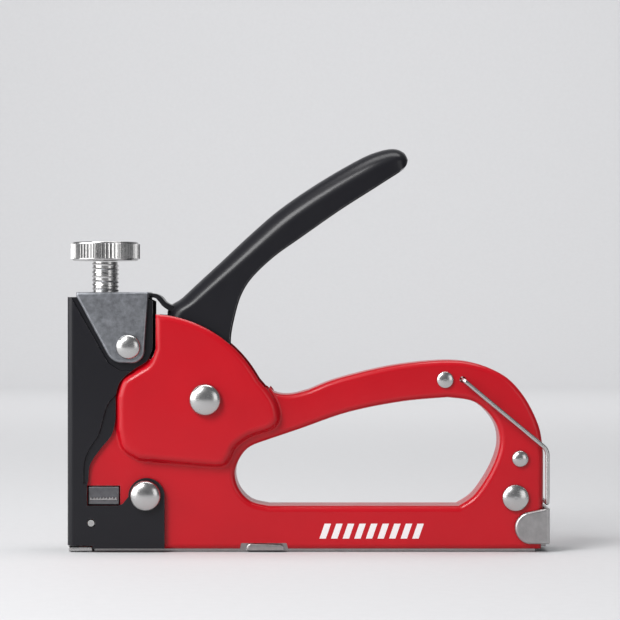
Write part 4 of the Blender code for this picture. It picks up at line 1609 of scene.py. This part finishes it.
@dataclass
class Striker:
    """The stop that ends the blow, the plate under the nose and the power spring."""

    stop_half: float = 9.0
    crimps: int = 9

    def stop(self, wardrobe: Wardrobe) -> None:
        """Makes the cross block, with a ragged crimped line on each end.

        Args:
            wardrobe: puts pieces on their bodies with their finishes.
        """
        levels = mirrored([(8.3, 0.0), (8.55, 0.08), (8.7, 0.3)])
        block = slab("stop_forging", [rectangle((-66.4, 14.2), (-57.2, 19.6))], levels)
        low, high, rear, span = 15.5, 16.5, -57.6, 8.4
        valley, ragged = 0.45, 0.12
        upper = []
        for k in range(2 * self.crimps + 1):
            place = rear - span * k / (2 * self.crimps)
            upper.append((place, high if k % 2 else low + valley + ragged * math.sin(5.0 * k)))
        loop = [(-66.0, low), (rear, low)] + upper
        ridges = []
        for side in (-1, 1):
            ridges.append(slab("stop_crimping", [turned_left(loop)],
                               [(side * 8.6, 0.0), (side * 8.85, 0.0), (side * self.stop_half, 0.12)]))
        crimping = ridges[0]
        combine(crimping, ridges[1:], "UNION")
        wardrobe.dress(smoothed(block, 0.0, 35.0), Slot.HARD, "housing", "striker_stop")
        wardrobe.dress(smoothed(crimping, 0.0, 35.0), Slot.SATIN, "housing", "striker_stop")

    def foot(self, wardrobe: Wardrobe) -> None:
        """Makes the plate under the nose, with the slot for the staple.

        Args:
            wardrobe: puts pieces on their bodies with their finishes.
        """
        levels = mirrored([(7.6, 0.0), (7.88, 0.12), (8.0, 0.4)])
        foot = slab("nose_plate", [rectangle((-72.4, 0.0), (-65.3, 1.6))], levels)
        slot = slab("slot", [rectangle((-71.5, -1.0), (-70.1, 3.0))], mirrored([(6.2, 0.0)]))
        combine(foot, [slot], "DIFFERENCE")
        wardrobe.dress(smoothed(foot, 0.1, 40.0), Slot.NICKEL, "housing", "nose_foot")

    def spring(self, wardrobe: Wardrobe) -> None:
        """Winds the power spring, which gets shorter as the striker is lifted.

        Its upper end leaves room for the spring cap's lowest place.

        Args:
            wardrobe: puts pieces on their bodies with their finishes.
        """
        low, high = 39.1, 61.6
        coil = Coil("power_spring_winding", radius=4.3, wire_radius=0.78, turns=6.5, length=high - low,
                    wire_sides=12)
        piece = coil.build(wardrobe.material(Slot.SATIN))
        piece.data.transform(Matrix.Translation((SCREW_X * MM, 0, low * MM)))
        wardrobe.dress(smoothed(piece, 0.0, 50.0), Slot.SATIN, "housing", "power_spring")
        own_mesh(piece)

    def build(self, wardrobe: Wardrobe) -> None:
        """Makes the stop, the nose plate and the spring.

        Args:
            wardrobe: puts pieces on their bodies with their finishes.
        """
        self.stop(wardrobe)
        self.foot(wardrobe)
        self.spring(wardrobe)


@dataclass
class InnerParts:
    """Parts inside the body and the small nose pins, which keep the mechanical model's shape."""

    nodes: tuple[str, ...] = (
        "adjuster_nut", "spring_cap", "striker_block", "driver_blade", "striker_buffer", "lever_arm",
        "nose_spacer", "upper_spacer", "rear_spacer", "latch_spacer", "left_pivot_washer",
        "right_pivot_washer", "left_nose_pin", "right_nose_pin", "staple_rail", "follower", "pusher_rod",
    )

    def build(self, wardrobe: Wardrobe) -> None:
        """Finishes each of them."""
        for node in self.nodes:
            wardrobe.dress_node(node)


@dataclass
class Studio:
    """A pale floor that curves up behind the tool, soft lights and a level camera."""

    distance: float = 0.72
    width: float = 0.186
    near_face: float = 0.0125
    aim: Point = (0.00045, 0.0729)
    sensor: float = 36.0

    def floor(self) -> None:
        """Sweeps the floor up into a wall."""
        front, depth, radius, height, half = -4.0, 1.5, 0.6, 2.2, 3.5
        steps, sunk = 32, 0.0002
        profile = [(front, 0.0), (depth, 0.0)]
        for k in range(1, steps + 1):
            angle = math.pi / 2 * k / steps
            profile.append((depth + radius * math.sin(angle), radius * (1 - math.cos(angle))))
        profile.append((depth + radius, height))
        mesh = bpy.data.meshes.new("floor")
        points = [(x, y, z - sunk) for x in (-half, half) for y, z in profile]
        count = len(profile)
        faces = [(i, i + count, i + count + 1, i + 1) for i in range(count - 1)]
        mesh.from_pydata(points, [], faces)
        mesh.shade_smooth()
        mesh.materials.append(Paper("Pale paper", (0.54, 0.54, 0.55), 0.85).build())
        placed("floor", mesh)

    def lamp(self, name: str, place: Point3, size: Point, power: float, target: Point3) -> None:
        """Hangs one soft light that faces a target.

        Args:
            name: the lamp's name.
            place: where it hangs.
            size: its width and height.
            power: its power in watts.
            target: what it faces.
        """
        light = bpy.data.lights.new(name, "AREA")
        light.shape = "RECTANGLE"
        light.size, light.size_y = size
        light.energy = power
        lamp = placed(name, light)
        lamp.location = place
        lamp.rotation_euler = (Vector(target) - Vector(place)).to_track_quat("-Z", "Y").to_euler()

    def camera(self) -> None:
        """Sets up the level side camera."""
        data = bpy.data.cameras.new("side")
        data.sensor_width = self.sensor
        data.lens = self.sensor * self.distance / self.width
        camera = placed("side", data)
        camera.location = (self.aim[0], -(self.distance + self.near_face), self.aim[1])
        camera.rotation_euler = (math.pi / 2, 0.0, 0.0)
        bpy.context.scene.camera = camera

    def build(self) -> None:
        """Sets up the whole studio."""
        self.floor()
        self.camera()
        middle = (0.0, 0.0, 0.06)
        wall = (0.0, 2.0, 0.2)
        self.lamp("key", (-0.5, -0.6, 0.75), size=(0.4, 0.4), power=8.5, target=middle)
        self.lamp("side", (-0.75, -0.3, 0.28), size=(0.9, 0.5), power=5.0, target=middle)
        self.lamp("fill", (0.75, -0.8, 0.25), size=(0.5, 0.7), power=1.6, target=middle)
        self.lamp("top", (0.0, 0.05, 0.95), size=(0.8, 0.4), power=5.0, target=middle)
        self.lamp("wall", (0.0, 0.9, 1.1), size=(2.4, 0.4), power=22.0, target=wall)
        world = bpy.data.worlds.new("studio")
        world.use_nodes = True
        sky = world.node_tree.nodes["Background"]
        sky.inputs["Color"].default_value = (0.8, 0.82, 0.85, 1.0)
        sky.inputs["Strength"].default_value = 0.22
        bpy.context.scene.world = world
        bpy.context.scene.view_settings.view_transform = "Standard"


def main() -> None:
    """Builds the sub-assemblies in order, then the studio."""
    logging.basicConfig(level=logging.INFO, format="%(name)s: %(message)s")
    wardrobe = Wardrobe()
    assemblies = (BodyShells(), FrontCover(), TopBracket(), Rivets(), Adjuster(), Handle(), HandleLock(),
                  Magazine(), Striker(), InnerParts())
    for assembly in assemblies:
        assembly.build(wardrobe)
        log.info("%s finished", type(assembly).__name__)
    Studio().build()


if __name__ == "__main__":
    main()
